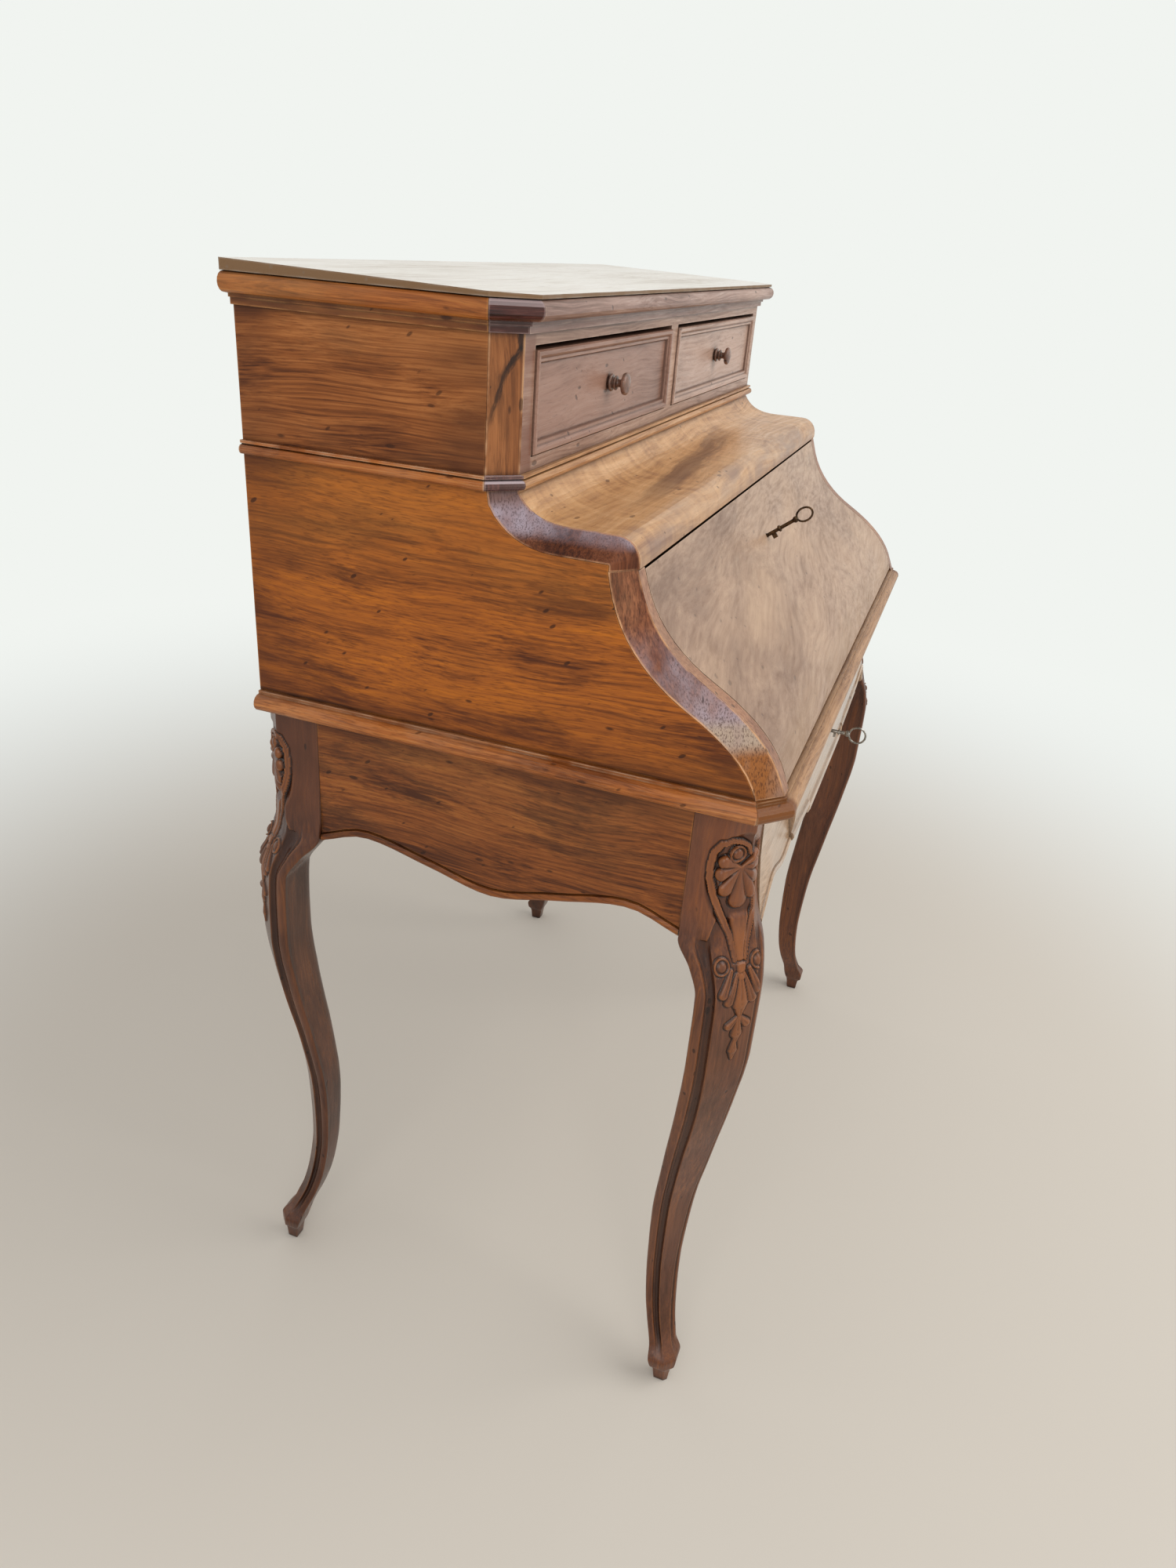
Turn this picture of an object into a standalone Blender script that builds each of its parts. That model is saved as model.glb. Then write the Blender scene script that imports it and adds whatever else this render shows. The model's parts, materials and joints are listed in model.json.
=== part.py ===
"""Slant-front writing desk on cabriole legs, with a small upper case of two drawers.

Metres, +Z up, front towards -Y. The origin is on the floor, under the middle of the desk.
"""
import math

import bmesh
import bpy
from mathutils import Vector

# Clearances
GAP = 0.0003                # between pieces that are glued or seated
RUN = 0.0012                # round a piece that slides or swings

# Case, seen from the front
HALF_WIDTH = 0.431          # middle of the desk to the outside of a case side
CHAMFER = 0.021             # width of the canted corners
CANT_DEPTH = 0.019          # depth of the canted corners, square to the front
APRON_INSET = 0.021         # apron behind the case side
SIDE_WALL = 0.016           # upper case side
BACK_WALL = 0.012
DECK_THICK = 0.018

# Depths, one after the other from the back of the case to the foot of the fall
GRADIN_DEPTH = 0.2475       # back to the front of the upper case
SHELF_DEPTH = 0.1075        # on to the face of the shelf's lip
FALL_RUN = 0.143            # on to the foot of the fall
FRONT_INSET = 0.020         # apron behind the foot of the fall
LEG_BACK = 0.006            # back legs behind the case

# Heights, one on the other from the floor
LEG_HEIGHT = 0.743
BASE_HEIGHT = 0.028
CASE_HEIGHT = 0.217
BEAD_HEIGHT = 0.012
GRADIN_HEIGHT = 0.105
CORNICE_HEIGHT = 0.025
TOP_FRONT = 0.003           # top board's thickness at the front
TOP_RISE = 0.006            # old board, lifted along its back
TOP_SET = 0.004             # top board inside the cornice's nose

# Mouldings
BASE_NOSE = 0.0123
BASE_SEAT = 0.030           # inward width of the base moulding
BASE_STEP = 0.001           # base moulding's cove ends this far behind the case
BASE_COVE = 0.011           # reach of the cove
BASE_RAIL = 0.020           # rail behind the front moulding
CORNICE_NOSE = 0.019
BEAD_NOSE = 0.007

# Curved shelf and ogee fall
COVE_RUN = 0.047            # forward reach of the cove
COVE_DROP = 0.0235
COVE_ANGLE = math.radians(58)
LIP_MARGIN = 0.001          # lip's round beyond the depth of the canted corner
LIP_HEIGHT = 0.0245
SHELF_THICK = 0.0145
RAIL_THICK = 0.016          # lock rail under the shelf
OGEE_TOP_ANGLE = math.radians(80)
OGEE_MID_ANGLE = math.radians(29.5)
OGEE_FOOT_ANGLE = math.radians(76)
OGEE_MID_RUN = 0.0676       # forward of the lip
OGEE_MID_RISE = 0.081       # above the base moulding
STILE_WIDTH = 0.0155
STILE_DEPTH = 0.015
PIVOT_SET = 0.005           # pivot behind the fall's face
PIVOT_RISE = 0.012          # pivot above the base moulding
PIVOT_ROUND = 0.0104        # half-round foot of the fall, about the pivot
PIN_RADIUS = 0.0022
PIN_IN_FALL = 0.012
FALL_TOP_THICK = 0.036
FALL_TOP_GAP = 0.002

# Legs
LEG_SQUARE = 0.0525         # leg block at the apron
GROOVE = 0.0014             # depth of the leg's edge moulding
GROOVE_FADE = 0.050         # height over which the groove deepens
LEAN_FADE = 0.045           # height over which a leg's inner face takes up its lean
LEG_RINGS = 26

# Aprons
APRON_THICK = 0.020
APRON_END_DROP = 0.1355     # below the apron's top, beside a leg
SIDE_CREST_DROP = 0.1195
SIDE_CREST_IN = 0.0505      # crest's distance from the leg
SIDE_BELLY_DROP = 0.1475
FRONT_CREST_DROP = 0.104
FRONT_CREST_IN = 0.034      # crest's distance from the leg
FRONT_LOW_DROP = 0.119
FRONT_LOW_OUT = 0.032       # lowest point's distance from the drawer
FRONT_CUSP_DROP = 0.113     # beside the drawer
FRONT_FLARE = 0.011         # forward sweep of the front aprons towards their lower edge
BACK_APRON_DROP = 0.125
EDGE_BEAD = 0.0075
EDGE_PROUD = 0.003

# Upper case front and its drawers
FRAME_THICK = 0.016
RAIL_TOP = 0.0095           # below the cornice
RAIL_BOTTOM = 0.0105        # above the bead
STILE_MIDDLE = 0.025
STILE_END = 0.0205
DIVIDER_THICK = 0.016
DRAWER_WALL = 0.008
DRAWER_FLOOR = 0.006
DRAWER_BACK_SPACE = 0.020
SMALL_FRONT_THICK = 0.016
SMALL_FRONT_PROUD = 0.003
FIELD_SINK = 0.0052         # sunk field behind the moulded frame of a small drawer
# Moulded frame of a small drawer: inward from its edge, back from its face
FRAME_STEPS = ((0.0, 0.0015), (0.0012, 0.0), (0.0042, 0.0), (0.0068, 0.0022), (0.0092, 0.0022),
               (0.0110, FIELD_SINK))
DRAWER_TOP_GAP = 0.0035     # worn gap above each small drawer
KNOB_RADIUS = 0.0100
KNOB_REACH = 0.0205

# Frieze drawer
FRIEZE_HALF = 0.228
FRIEZE_STEP = 0.122         # half width of the deeper middle of its front
FRIEZE_DROP = 0.134
FRIEZE_STEP_DROP = 0.121
FRIEZE_END_DROP = 0.111
FRIEZE_CORNER = 0.012
FRIEZE_BULGE = 0.014
FRIEZE_THICK = 0.018
FRIEZE_LENGTH = 0.390       # drawer box behind its front
FRIEZE_BOX_IN = 0.010       # box side inside the front's end
RUNNER_HEIGHT = 0.012
RUNNER_LEDGE = 0.014
GUIDE_HEIGHT = 0.020
GUIDE_THICK = 0.024

# Locks and keys
LOCK_HALF = 0.027
FALL_LOCK_LENGTH = 0.066
DRAWER_LOCK_LENGTH = 0.086
LOCK_DEPTH = 0.0075
BOLT_HALF = 0.006
BOLT_THICK = 0.0030
BOLT_LENGTH = 0.024
FALL_BOLT_THROW = 0.008
DRAWER_BOLT_THROW = 0.006
BOLT_PLAY = 0.0005
KEY_RADIUS = 0.0021
KEY_HOLE = 0.0030
KEY_IN = 0.006              # shank inside the lock
KEY_DROOP = math.radians(10)    # fall's key, below square to the lock
FALL_KEY_BELOW = 0.052      # keyhole below the fall's top edge
FALL_KEY_OUT = 0.040        # shank outside the fall, to the bow
DRAWER_KEY_BELOW = 0.073    # keyhole below the drawer's top edge
DRAWER_KEY_OUT = 0.022
BOW_WIRE = 0.0012
FALL_BOW = (0.0095, 0.0072)     # half length and half width of the bow
DRAWER_BOW = (0.0098, 0.0098)

# Inside the writing compartment
SHELF_UP = 0.075            # pigeonhole shelf above the writing bed
SHELF_BOARD = 0.010
SHELF_REACH = 0.190         # forward of the back wall

# Levels and planes that follow from the sizes above
FALL_DEPTH = GRADIN_DEPTH + SHELF_DEPTH + FALL_RUN
APRON_DEPTH = FALL_DEPTH - FRONT_INSET
HALF_APRON = HALF_WIDTH - APRON_INSET
HALF_INSIDE = HALF_WIDTH - CHAMFER
Z_BASE = LEG_HEIGHT
Z_CASE = Z_BASE + BASE_HEIGHT
Z_DECK = Z_CASE + CASE_HEIGHT
Z_GRADIN = Z_DECK + BEAD_HEIGHT
Z_CORNICE = Z_GRADIN + GRADIN_HEIGHT
Z_TOP = Z_CORNICE + CORNICE_HEIGHT
Z_SHELF = Z_DECK - COVE_DROP
Z_LIP = Z_SHELF - LIP_HEIGHT
LIP_ROUND = CANT_DEPTH + LIP_MARGIN
FALL_HALF = HALF_INSIDE - GAP - STILE_WIDTH - RUN
RUNNER_TOP = LEG_HEIGHT - FRONT_LOW_DROP + EDGE_BEAD + RUNNER_HEIGHT

# Leg stations: place, outer corner past the apron, inner face past the block's, canted corner,
# lean forwards of a front leg, lean backwards of a back leg
KNEE_STATIONS = (           # place is the drop below the leg's top
    (0.000, 0.0000, 0.0000, 0.0210, 0.0000, 0.0155),
    (0.053, 0.0006, 0.0000, 0.0220, 0.0000, 0.0155),
    (0.093, 0.0018, 0.0000, 0.0270, 0.0020, 0.0155),
    (0.129, 0.0052, 0.0000, 0.0345, 0.0075, 0.0165),
    (0.163, 0.0112, 0.0113, 0.0335, 0.0105, 0.0200),
    (0.196, 0.0145, 0.0161, 0.0310, 0.0105, 0.0225),
    (0.263, 0.0143, 0.0159, 0.0305, 0.0105, 0.0240),
)
SHIN_STATIONS = (           # place is the share of the way from the ankle up to the knee
    (0.800, 0.0055, 0.0112, 0.0258, 0.0105, 0.0240),
    (0.575, -0.0083, 0.0031, 0.0228, 0.0105, 0.0240),
    (0.375, -0.0181, -0.0013, 0.0177, 0.0090, 0.0240),
    (0.175, -0.0210, 0.0015, 0.0137, 0.0075, 0.0240),
)
FOOT_STATIONS = (           # place is the height above the floor
    (0.096, -0.0152, 0.0108, 0.0111, 0.0050, 0.0240),
    (0.050, -0.0010, 0.0270, 0.0090, 0.0015, 0.0240),
    (0.034, 0.0095, 0.0310, 0.0115, 0.0000, 0.0240),
    (0.024, 0.0085, 0.0340, 0.0095, 0.0000, 0.0240),
    (0.019, 0.0045, 0.0365, 0.0050, 0.0000, 0.0240),
    (0.000, 0.0025, 0.0395, 0.0035, 0.0000, 0.0240),
)
FRONT_LEAN = 4
BACK_LEAN = 5


def leg_stations():
    """All stations from the top down, by height above the floor."""
    knee = LEG_HEIGHT - KNEE_STATIONS[-1][0]
    ankle = FOOT_STATIONS[0][0]
    rows = [(LEG_HEIGHT - row[0], *row[1:]) for row in KNEE_STATIONS]
    rows += [(ankle + (knee - ankle) * row[0], *row[1:]) for row in SHIN_STATIONS]
    return rows + list(FOOT_STATIONS)


LEG_STATIONS = leg_stations()
BACK_REACH = LEG_BACK + max(station[1] + station[BACK_LEAN] for station in LEG_STATIONS)

# The origin lies half way between the back knees and whatever reaches furthest forward
FRONT_REACH = max(FALL_DEPTH + BASE_NOSE,
                  APRON_DEPTH + FRIEZE_BULGE + DRAWER_KEY_OUT + 2 * DRAWER_BOW[0])
BACK_Y = (FRONT_REACH - BACK_REACH) / 2


def forward(depth):
    """Y of a plane that lies this far in front of the back of the case."""
    return BACK_Y - depth


Y_GRADIN = forward(GRADIN_DEPTH)
Y_LIP = forward(GRADIN_DEPTH + SHELF_DEPTH)
Y_FOOT = forward(FALL_DEPTH)
Y_APRON = forward(APRON_DEPTH)
Y_LEG_BACK = BACK_Y + LEG_BACK
Y_INSIDE = BACK_Y - BACK_WALL


# Materials

def material(name, rgb, roughness, metallic=0.0):
    """A plain surface with the piece's own colour."""
    made = bpy.data.materials.new(name)
    made.use_nodes = True
    shader = made.node_tree.nodes["Principled BSDF"]
    shader.inputs["Base Color"].default_value = (*rgb, 1.0)
    shader.inputs["Roughness"].default_value = roughness
    shader.inputs["Metallic"].default_value = metallic
    made.diffuse_color = (*rgb, 1.0)
    return made


def make_palette():
    """Walnut in the tones that light and polish have given it, pale drawer wood, iron and steel."""
    return {
        "walnut": material("walnut", (0.36, 0.15, 0.05), 0.35),
        "faded": material("faded_walnut", (0.33, 0.19, 0.13), 0.45),
        "honey": material("honey_walnut", (0.47, 0.25, 0.11), 0.40),
        "dark": material("stained_walnut", (0.13, 0.045, 0.03), 0.30),
        "leg": material("leg_walnut", (0.20, 0.075, 0.035), 0.35),
        "bleached": material("bleached_walnut", (0.70, 0.58, 0.45), 0.50),
        "inner": material("drawer_oak", (0.50, 0.34, 0.19), 0.65),
        "iron": material("bronzed_iron", (0.10, 0.07, 0.05), 0.40, 1.0),
        "steel": material("key_steel", (0.45, 0.43, 0.41), 0.30, 1.0),
    }


# Curves

def bezier(start, start_handle, end_handle, end, count):
    """Points along one cubic curve, both ends included."""
    points = []
    for index in range(count + 1):
        t = index / count
        u = 1 - t
        points.append(start * u ** 3 + start_handle * 3 * u * u * t
                      + end_handle * 3 * u * t * t + end * t ** 3)
    return points


def arc(centre, radius, first, last, count):
    """Points on a circle between two angles in degrees, both ends included."""
    points = []
    for index in range(count + 1):
        angle = math.radians(first + (last - first) * index / count)
        points.append((centre[0] + radius * math.cos(angle), centre[1] + radius * math.sin(angle)))
    return points


def smooth_value(table, where, column):
    """A column of a table sorted by its first column, read smoothly and without overshoot."""
    xs = [row[0] for row in table]
    ys = [row[column] for row in table]
    steps = [(ys[i + 1] - ys[i]) / (xs[i + 1] - xs[i]) for i in range(len(xs) - 1)]
    slopes = [steps[0]]
    for before, after in zip(steps, steps[1:]):
        slopes.append(2 * before * after / (before + after) if before * after > 0 else 0.0)
    slopes.append(steps[-1])
    index = 0
    while index < len(xs) - 2 and (xs[index + 1] - where) * (xs[-1] - xs[0]) < 0:
        index += 1
    width = xs[index + 1] - xs[index]
    t = (where - xs[index]) / width
    return ((1 + 2 * t) * (1 - t) ** 2 * ys[index] + t * (1 - t) ** 2 * width * slopes[index]
            + t * t * (3 - 2 * t) * ys[index + 1] + t * t * (t - 1) * width * slopes[index + 1])


def downhill(angle):
    """Direction forwards and down at this angle, as (y, z)."""
    return Vector((-math.cos(angle), -math.sin(angle)))


def ogee_curve():
    """Face of the fall as (y, z), hollow above and full below, from the lip down to the base."""
    top = Vector((Y_LIP, Z_LIP - GAP))
    middle = Vector((Y_LIP - OGEE_MID_RUN, Z_CASE + OGEE_MID_RISE))
    foot = Vector((Y_FOOT, Z_CASE))
    hollow = (top - middle).length
    belly = (middle - foot).length
    upper = bezier(top, top + downhill(OGEE_TOP_ANGLE) * hollow * 0.36,
                   middle - downhill(OGEE_MID_ANGLE) * hollow * 0.36, middle, 10)
    lower = bezier(middle, middle + downhill(OGEE_MID_ANGLE) * belly * 0.40,
                   foot - downhill(OGEE_FOOT_ANGLE) * belly * 0.33, foot, 10)
    return upper + lower[1:]


def shelf_curve():
    """Top of the cove, the shelf and its rounded lip as (y, z), from the upper case forwards."""
    top = Vector((Y_GRADIN, Z_DECK - GAP))
    start = top - Vector((0.0, COVE_DROP * 0.09))
    flat = Vector((Y_GRADIN - COVE_RUN, Z_SHELF))
    cove = bezier(start, start + downhill(COVE_ANGLE) * COVE_RUN * 0.38,
                  flat + Vector((COVE_RUN * 0.50, 0.0)), flat, 9)
    lip = arc((Y_LIP + LIP_ROUND, Z_SHELF - LIP_ROUND), LIP_ROUND, 90, 180, 6)
    return [top] + cove + [Vector(point) for point in lip] + [Vector((Y_LIP, Z_LIP))]


def behind(curve, depth):
    """A curve moved back into the wood, square to itself."""
    moved = []
    for index, point in enumerate(curve):
        ahead = curve[min(index + 1, len(curve) - 1)]
        before = curve[max(index - 1, 0)]
        along = (ahead - before).normalized()
        moved.append(point + Vector((-along.y, along.x)) * depth)
    return moved


def ended(curve, direction, limit):
    """A curve stopped at a straight line across its way, or carried straight on to it."""
    kept = [point for point in curve if point.dot(direction) < limit - GAP]
    step = kept[-1] - kept[-2]
    share = (limit - kept[-1].dot(direction)) / step.dot(direction)
    return kept + [kept[-1] + step * share]


def clipped(curve, low, high):
    """The part of a falling curve between two heights."""
    lower = ended(curve, Vector((0.0, -1.0)), -low)
    return ended(lower[::-1], Vector((0.0, 1.0)), high)[::-1]


def resampled(curve, count):
    """The same curve with points an even distance apart."""
    lengths = [0.0]
    for before, after in zip(curve, curve[1:]):
        lengths.append(lengths[-1] + (after - before).length)
    points = []
    index = 0
    for step in range(count + 1):
        wanted = lengths[-1] * step / count
        while index < len(curve) - 2 and lengths[index + 1] < wanted:
            index += 1
        share = (wanted - lengths[index]) / (lengths[index + 1] - lengths[index])
        points.append(curve[index].lerp(curve[index + 1], share))
    return points


# The fall turns on pivots near its foot. Its own frame has Y up its flat inner face and Z out of it.

def pivot_point():
    """Pivot as (y, z), set back from the fall's face."""
    height = Z_CASE + PIVOT_RISE
    face = clipped(ogee_curve(), height, Z_LIP - GAP)[-1]
    return Vector((face.x + PIVOT_SET, height))


def fall_slope():
    """Angle of the inner face, tangent to the round foot and the set thickness below the lip."""
    reach = ogee_curve()[0] - pivot_point()
    lean = math.asin((FALL_TOP_THICK - PIVOT_ROUND) / reach.length)
    return math.atan2(reach.y, reach.x) - lean


def to_fall(point):
    """World (y, z) to the fall's own frame."""
    offset = point - PIVOT
    cosine = math.cos(SLOPE)
    sine = math.sin(SLOPE)
    return Vector((offset.x * cosine + offset.y * sine, -offset.x * sine + offset.y * cosine))


def from_fall(point):
    """The fall's own frame to world (y, z)."""
    cosine = math.cos(SLOPE)
    sine = math.sin(SLOPE)
    return PIVOT + Vector((point[0] * cosine - point[1] * sine, point[0] * sine + point[1] * cosine))


PIVOT = pivot_point()
SLOPE = fall_slope()
RAIL_AT = to_fall(Vector((Y_LIP, Z_LIP))).x
FALL_TOP = RAIL_AT - FALL_TOP_GAP
Z_BED = PIVOT.y + PIVOT_ROUND


def bed_outline():
    """Writing bed in (y, z), its front edge bevelled to lie behind the closed fall."""
    reach = PIVOT_ROUND + RUN
    back = Y_INSIDE - GAP
    sine = math.sin(SLOPE)
    cosine = math.cos(SLOPE)
    kink = (reach * sine - reach) / cosine
    top = (reach + PIVOT_ROUND * cosine) / sine
    return [(PIVOT.x + reach, Z_CASE), (PIVOT.x + reach, PIVOT.y + kink), (PIVOT.x + top, Z_BED),
            (back, Z_BED), (back, Z_CASE)]


# Solids

def link(name, bm, surface, parent=None, smooth=None):
    """Closes a mesh, points its faces outwards and puts it in the scene."""
    bmesh.ops.recalc_face_normals(bm, faces=bm.faces)
    mesh = bpy.data.meshes.new(name)
    bm.to_mesh(mesh)
    bm.free()
    if surface:
        mesh.materials.append(surface)
    if smooth:
        mesh.shade_smooth()
        mesh.set_sharp_from_angle(angle=math.radians(smooth))
    made = bpy.data.objects.new(name, mesh)
    bpy.context.scene.collection.objects.link(made)
    made.parent = parent
    return made


def loft(name, rings, surface, parent=None, smooth=None, closed=False):
    """Skins rings of equal length, with flat ends, or round to the first ring when closed."""
    bm = bmesh.new()
    rows = [[bm.verts.new(point) for point in ring] for ring in rings]
    pairs = list(zip(rows, rows[1:]))
    if closed:
        pairs.append((rows[-1], rows[0]))
    else:
        bm.faces.new(rows[0])
        bm.faces.new(reversed(rows[-1]))
    size = len(rows[0])
    for near, far in pairs:
        for index in range(size):
            after = (index + 1) % size
            bm.faces.new((near[index], far[index], far[after], near[after]))
    return link(name, bm, surface, parent, smooth)


def across(name, outline, left, right, surface, parent=None, smooth=None):
    """A (y, z) outline run across the desk, along X."""
    rings = [[(x, point[0], point[1]) for point in outline] for x in (left, right)]
    return loft(name, rings, surface, parent, smooth)


def upright(name, outline, low, high, surface, smooth=None):
    """A plan outline in (x, y), run upwards."""
    rings = [[(point[0], point[1], z) for point in outline] for z in (low, high)]
    return loft(name, rings, surface, None, smooth)


def block(name, low, high, surface, parent=None):
    """A rectangular board between two corners."""
    outline = [(low[1], low[2]), (high[1], low[2]), (high[1], high[2]), (low[1], high[2])]
    return across(name, outline, low[0], high[0], surface, parent)


def turned(name, profile, centre, surface, parent=None, sides=16, smooth=40):
    """A (radius, height) profile turned about a Z axis of its own frame."""
    rings = []
    for radius, height in profile:
        ring = []
        for side in range(sides):
            angle = 2 * math.pi * side / sides
            ring.append((centre[0] + radius * math.cos(angle),
                         centre[1] + radius * math.sin(angle), centre[2] + height))
        rings.append(ring)
    return loft(name, rings, surface, parent, smooth)


def hide_tool(tool):
    """Marks a solid as a cutter."""
    tool.hide_render = True
    tool.display_type = "WIRE"
    return tool


def combine(target, tool, operation):
    """Cuts a tool out of a solid, or joins it on."""
    step = target.modifiers.new(tool.name, "BOOLEAN")
    step.operation = operation
    step.solver = "EXACT"
    step.object = hide_tool(tool)


def cut(target, tool):
    combine(target, tool, "DIFFERENCE")


def join(target, tool):
    combine(target, tool, "UNION")


def axis_empty(name, location, turn):
    """An empty on a joint's axis, turned about X."""
    empty = bpy.data.objects.new(name, None)
    empty.location = location
    empty.rotation_euler = (turn, 0.0, 0.0)
    bpy.context.scene.collection.objects.link(empty)
    return empty


# Legs and aprons

def leg_ring(height, side, end_y, outward, lean_column):
    """Square leg section with a canted outer corner and a groove beside each inner edge."""
    out = smooth_value(LEG_STATIONS, height, 1)
    inner = smooth_value(LEG_STATIONS, height, 2) - LEG_SQUARE
    cant = smooth_value(LEG_STATIONS, height, 3)
    lean = smooth_value(LEG_STATIONS, height, lean_column)
    face = out - cant - inner
    bead = inner + face * 0.28
    foot = inner + face * 0.52
    below = LEG_HEIGHT - height
    depth = GROOVE * min(1.0, max(0.0, (below - SIDE_CREST_DROP) / GROOVE_FADE))
    taken = min(1.0, max(0.0, (below - APRON_END_DROP) / LEAN_FADE))
    plan = [(inner, inner), (out, inner), (out, bead), (out - depth, (bead + foot) / 2), (out, foot),
            (out, out - cant), (out - cant, out), (foot, out), ((bead + foot) / 2, out - depth),
            (bead, out), (inner, out)]
    ring = []
    for u, v in plan:
        share = (v - inner) / (out - inner)
        moved = v + lean * (share + (1 - share) * taken)
        ring.append((side * (HALF_APRON + u), end_y + outward * moved, height))
    return ring


def make_leg(name, side, end_y, outward, lean_column, surface):
    """Cabriole leg, from the floor up to the block that takes the aprons."""
    heights = sorted(row[0] for row in FOOT_STATIONS[1:])
    start = heights[-1]
    rise = LEG_HEIGHT - GAP - start
    heights += [start + rise * step / LEG_RINGS for step in range(1, LEG_RINGS + 1)]
    rings = [leg_ring(height, side, end_y, outward, lean_column) for height in heights]
    return loft(name, rings, surface, None, 35)


def bead_section(edge, top, thick, flare):
    """Section of an apron as (outward, z), flared to a quirk and bead along its lower edge."""
    half = EDGE_BEAD / 2
    quirk = edge + EDGE_BEAD
    rise = top - quirk - GROOVE
    face = [(flare * share ** 2, top - rise * share) for share in (0.0, 0.5, 0.8, 1.0)]
    turns = [math.radians(angle) for angle in (30, 75, 105, 150)]
    bead = [(flare + EDGE_PROUD * math.sin(turn), edge + half - half * math.cos(turn)) for turn in turns]
    return [(-thick, top)] + face + [(flare - GROOVE, quirk)] + bead[::-1] + [(flare, edge), (-thick, edge)]


def side_edge(along, half):
    """Lower edge of a side apron: low in the middle, a crest beside each leg."""
    reach = abs(along)
    crest = half - SIDE_CREST_IN
    between = (SIDE_BELLY_DROP + SIDE_CREST_DROP) / 2
    table = ((-crest, -SIDE_CREST_DROP), (0.0, -SIDE_BELLY_DROP), (crest * 0.48, -between),
             (crest, -SIDE_CREST_DROP), (half, -APRON_END_DROP))
    return LEG_HEIGHT + smooth_value(table, reach, 1)


def make_side_apron(name, side, surface):
    """Scalloped board between the two legs of one side."""
    back = Y_LEG_BACK - LEG_SQUARE - GAP
    front = Y_APRON + LEG_SQUARE + GAP
    half = (back - front) / 2
    middle = (back + front) / 2
    rings = []
    for step in range(29):
        along = half * (step / 14 - 1)
        section = bead_section(side_edge(along, half), LEG_HEIGHT - GAP, APRON_THICK, 0.0)
        rings.append([(side * (HALF_APRON + out), middle + along, z) for out, z in section])
    return loft(name, rings, surface, None, 35)


def make_front_apron(name, side, surface):
    """Scalloped board between a front leg and the frieze drawer."""
    outer = HALF_APRON - LEG_SQUARE - GAP
    inner = FRIEZE_HALF + RUN
    crest = outer - FRONT_CREST_IN
    table = ((inner, -FRONT_CUSP_DROP), (inner + FRONT_LOW_OUT, -FRONT_LOW_DROP), (crest, -FRONT_CREST_DROP),
             (outer, -APRON_END_DROP))
    rings = []
    for step in range(19):
        x = inner + (outer - inner) * step / 18
        edge = LEG_HEIGHT + smooth_value(table, x, 1)
        section = bead_section(edge, LEG_HEIGHT - GAP, APRON_THICK, FRONT_FLARE)
        rings.append([(side * x, Y_APRON - out, z) for out, z in section])
    return loft(name, rings, surface, None, 35)


def make_base(palette):
    """Four legs, the aprons between them and the runners of the frieze drawer."""
    for end, end_y, outward, lean in (("front", Y_APRON, -1, FRONT_LEAN), ("back", Y_LEG_BACK, 1, BACK_LEAN)):
        make_leg("leg_%s_left" % end, -1, end_y, outward, lean, palette["leg"])
        make_leg("leg_%s_right" % end, 1, end_y, outward, lean, palette["leg"])
    make_side_apron("side_apron_left", -1, palette["walnut"])
    make_side_apron("side_apron_right", 1, palette["walnut"])
    make_front_apron("front_apron_left", -1, palette["faded"])
    make_front_apron("front_apron_right", 1, palette["faded"])
    make_back_apron(palette["walnut"])
    make_runners(palette["inner"])


def make_back_apron(surface):
    """Plain board between the back legs, its top spread over them to carry the case."""
    reach = HALF_APRON - LEG_SQUARE - GAP
    spread = HALF_WIDTH - BASE_SEAT - GAP
    low = LEG_HEIGHT - BACK_APRON_DROP
    outline = [(-reach, low), (reach, low), (reach, LEG_HEIGHT), (spread, LEG_HEIGHT),
               (spread, Z_CASE - GAP), (-spread, Z_CASE - GAP), (-spread, LEG_HEIGHT), (-reach, LEG_HEIGHT)]
    rings = [[(x, y, z) for x, z in outline] for y in (Y_LEG_BACK - APRON_THICK, Y_LEG_BACK)]
    return loft("back_apron", rings, surface)


def make_runners(surface):
    """Frame that carries the frieze drawer: two runners with guides, tied at the back."""
    inside = FRIEZE_HALF - FRIEZE_BOX_IN
    guide = inside + RUN
    front = Y_APRON + APRON_THICK + GAP
    back = Y_LEG_BACK - APRON_THICK - GAP
    low = RUNNER_TOP - RUNNER_HEIGHT
    outer = guide + GUIDE_THICK
    inner = inside - RUNNER_LEDGE
    tie = back - RUNNER_LEDGE
    plan = [(-outer, front), (-inner, front), (-inner, tie), (inner, tie), (inner, front), (outer, front),
            (outer, back), (-outer, back)]
    frame = upright("drawer_runners", plan, low, RUNNER_TOP, surface)
    for side in (-1, 1):
        ends = sorted((side * guide, side * outer))
        fence = block("guide_%d" % side, (ends[0], front, low + RUNNER_HEIGHT / 2),
                      (ends[1], back, RUNNER_TOP + GUIDE_HEIGHT), surface)
        join(frame, fence)


# Mouldings that run round the case with mitred corners

def mitres(path):
    """For each corner of a plan path, where a unit of projection goes."""
    normals = []
    for start, end in zip(path, path[1:]):
        along = (end - start).normalized()
        normals.append(Vector((along.y, -along.x)))
    spread = [normals[0]]
    for before, after in zip(normals, normals[1:]):
        spread.append((before + after) / (1 + before.dot(after)))
    spread.append(normals[-1])
    return spread


def run_moulding(name, path, first, last, profile, surface):
    """A moulding along part of a path, with half a gap left at each end."""
    spread = mitres(path)
    rings = []
    for index in range(first, last + 1):
        point = path[index].copy()
        if index == first:
            point += (path[index + 1] - path[index]).normalized() * GAP / 2
        if index == last:
            point += (path[index - 1] - path[index]).normalized() * GAP / 2
        rings.append([(*(point + spread[index] * out), z) for out, z in profile])
    return loft(name, rings, surface, None, 35)


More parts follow.
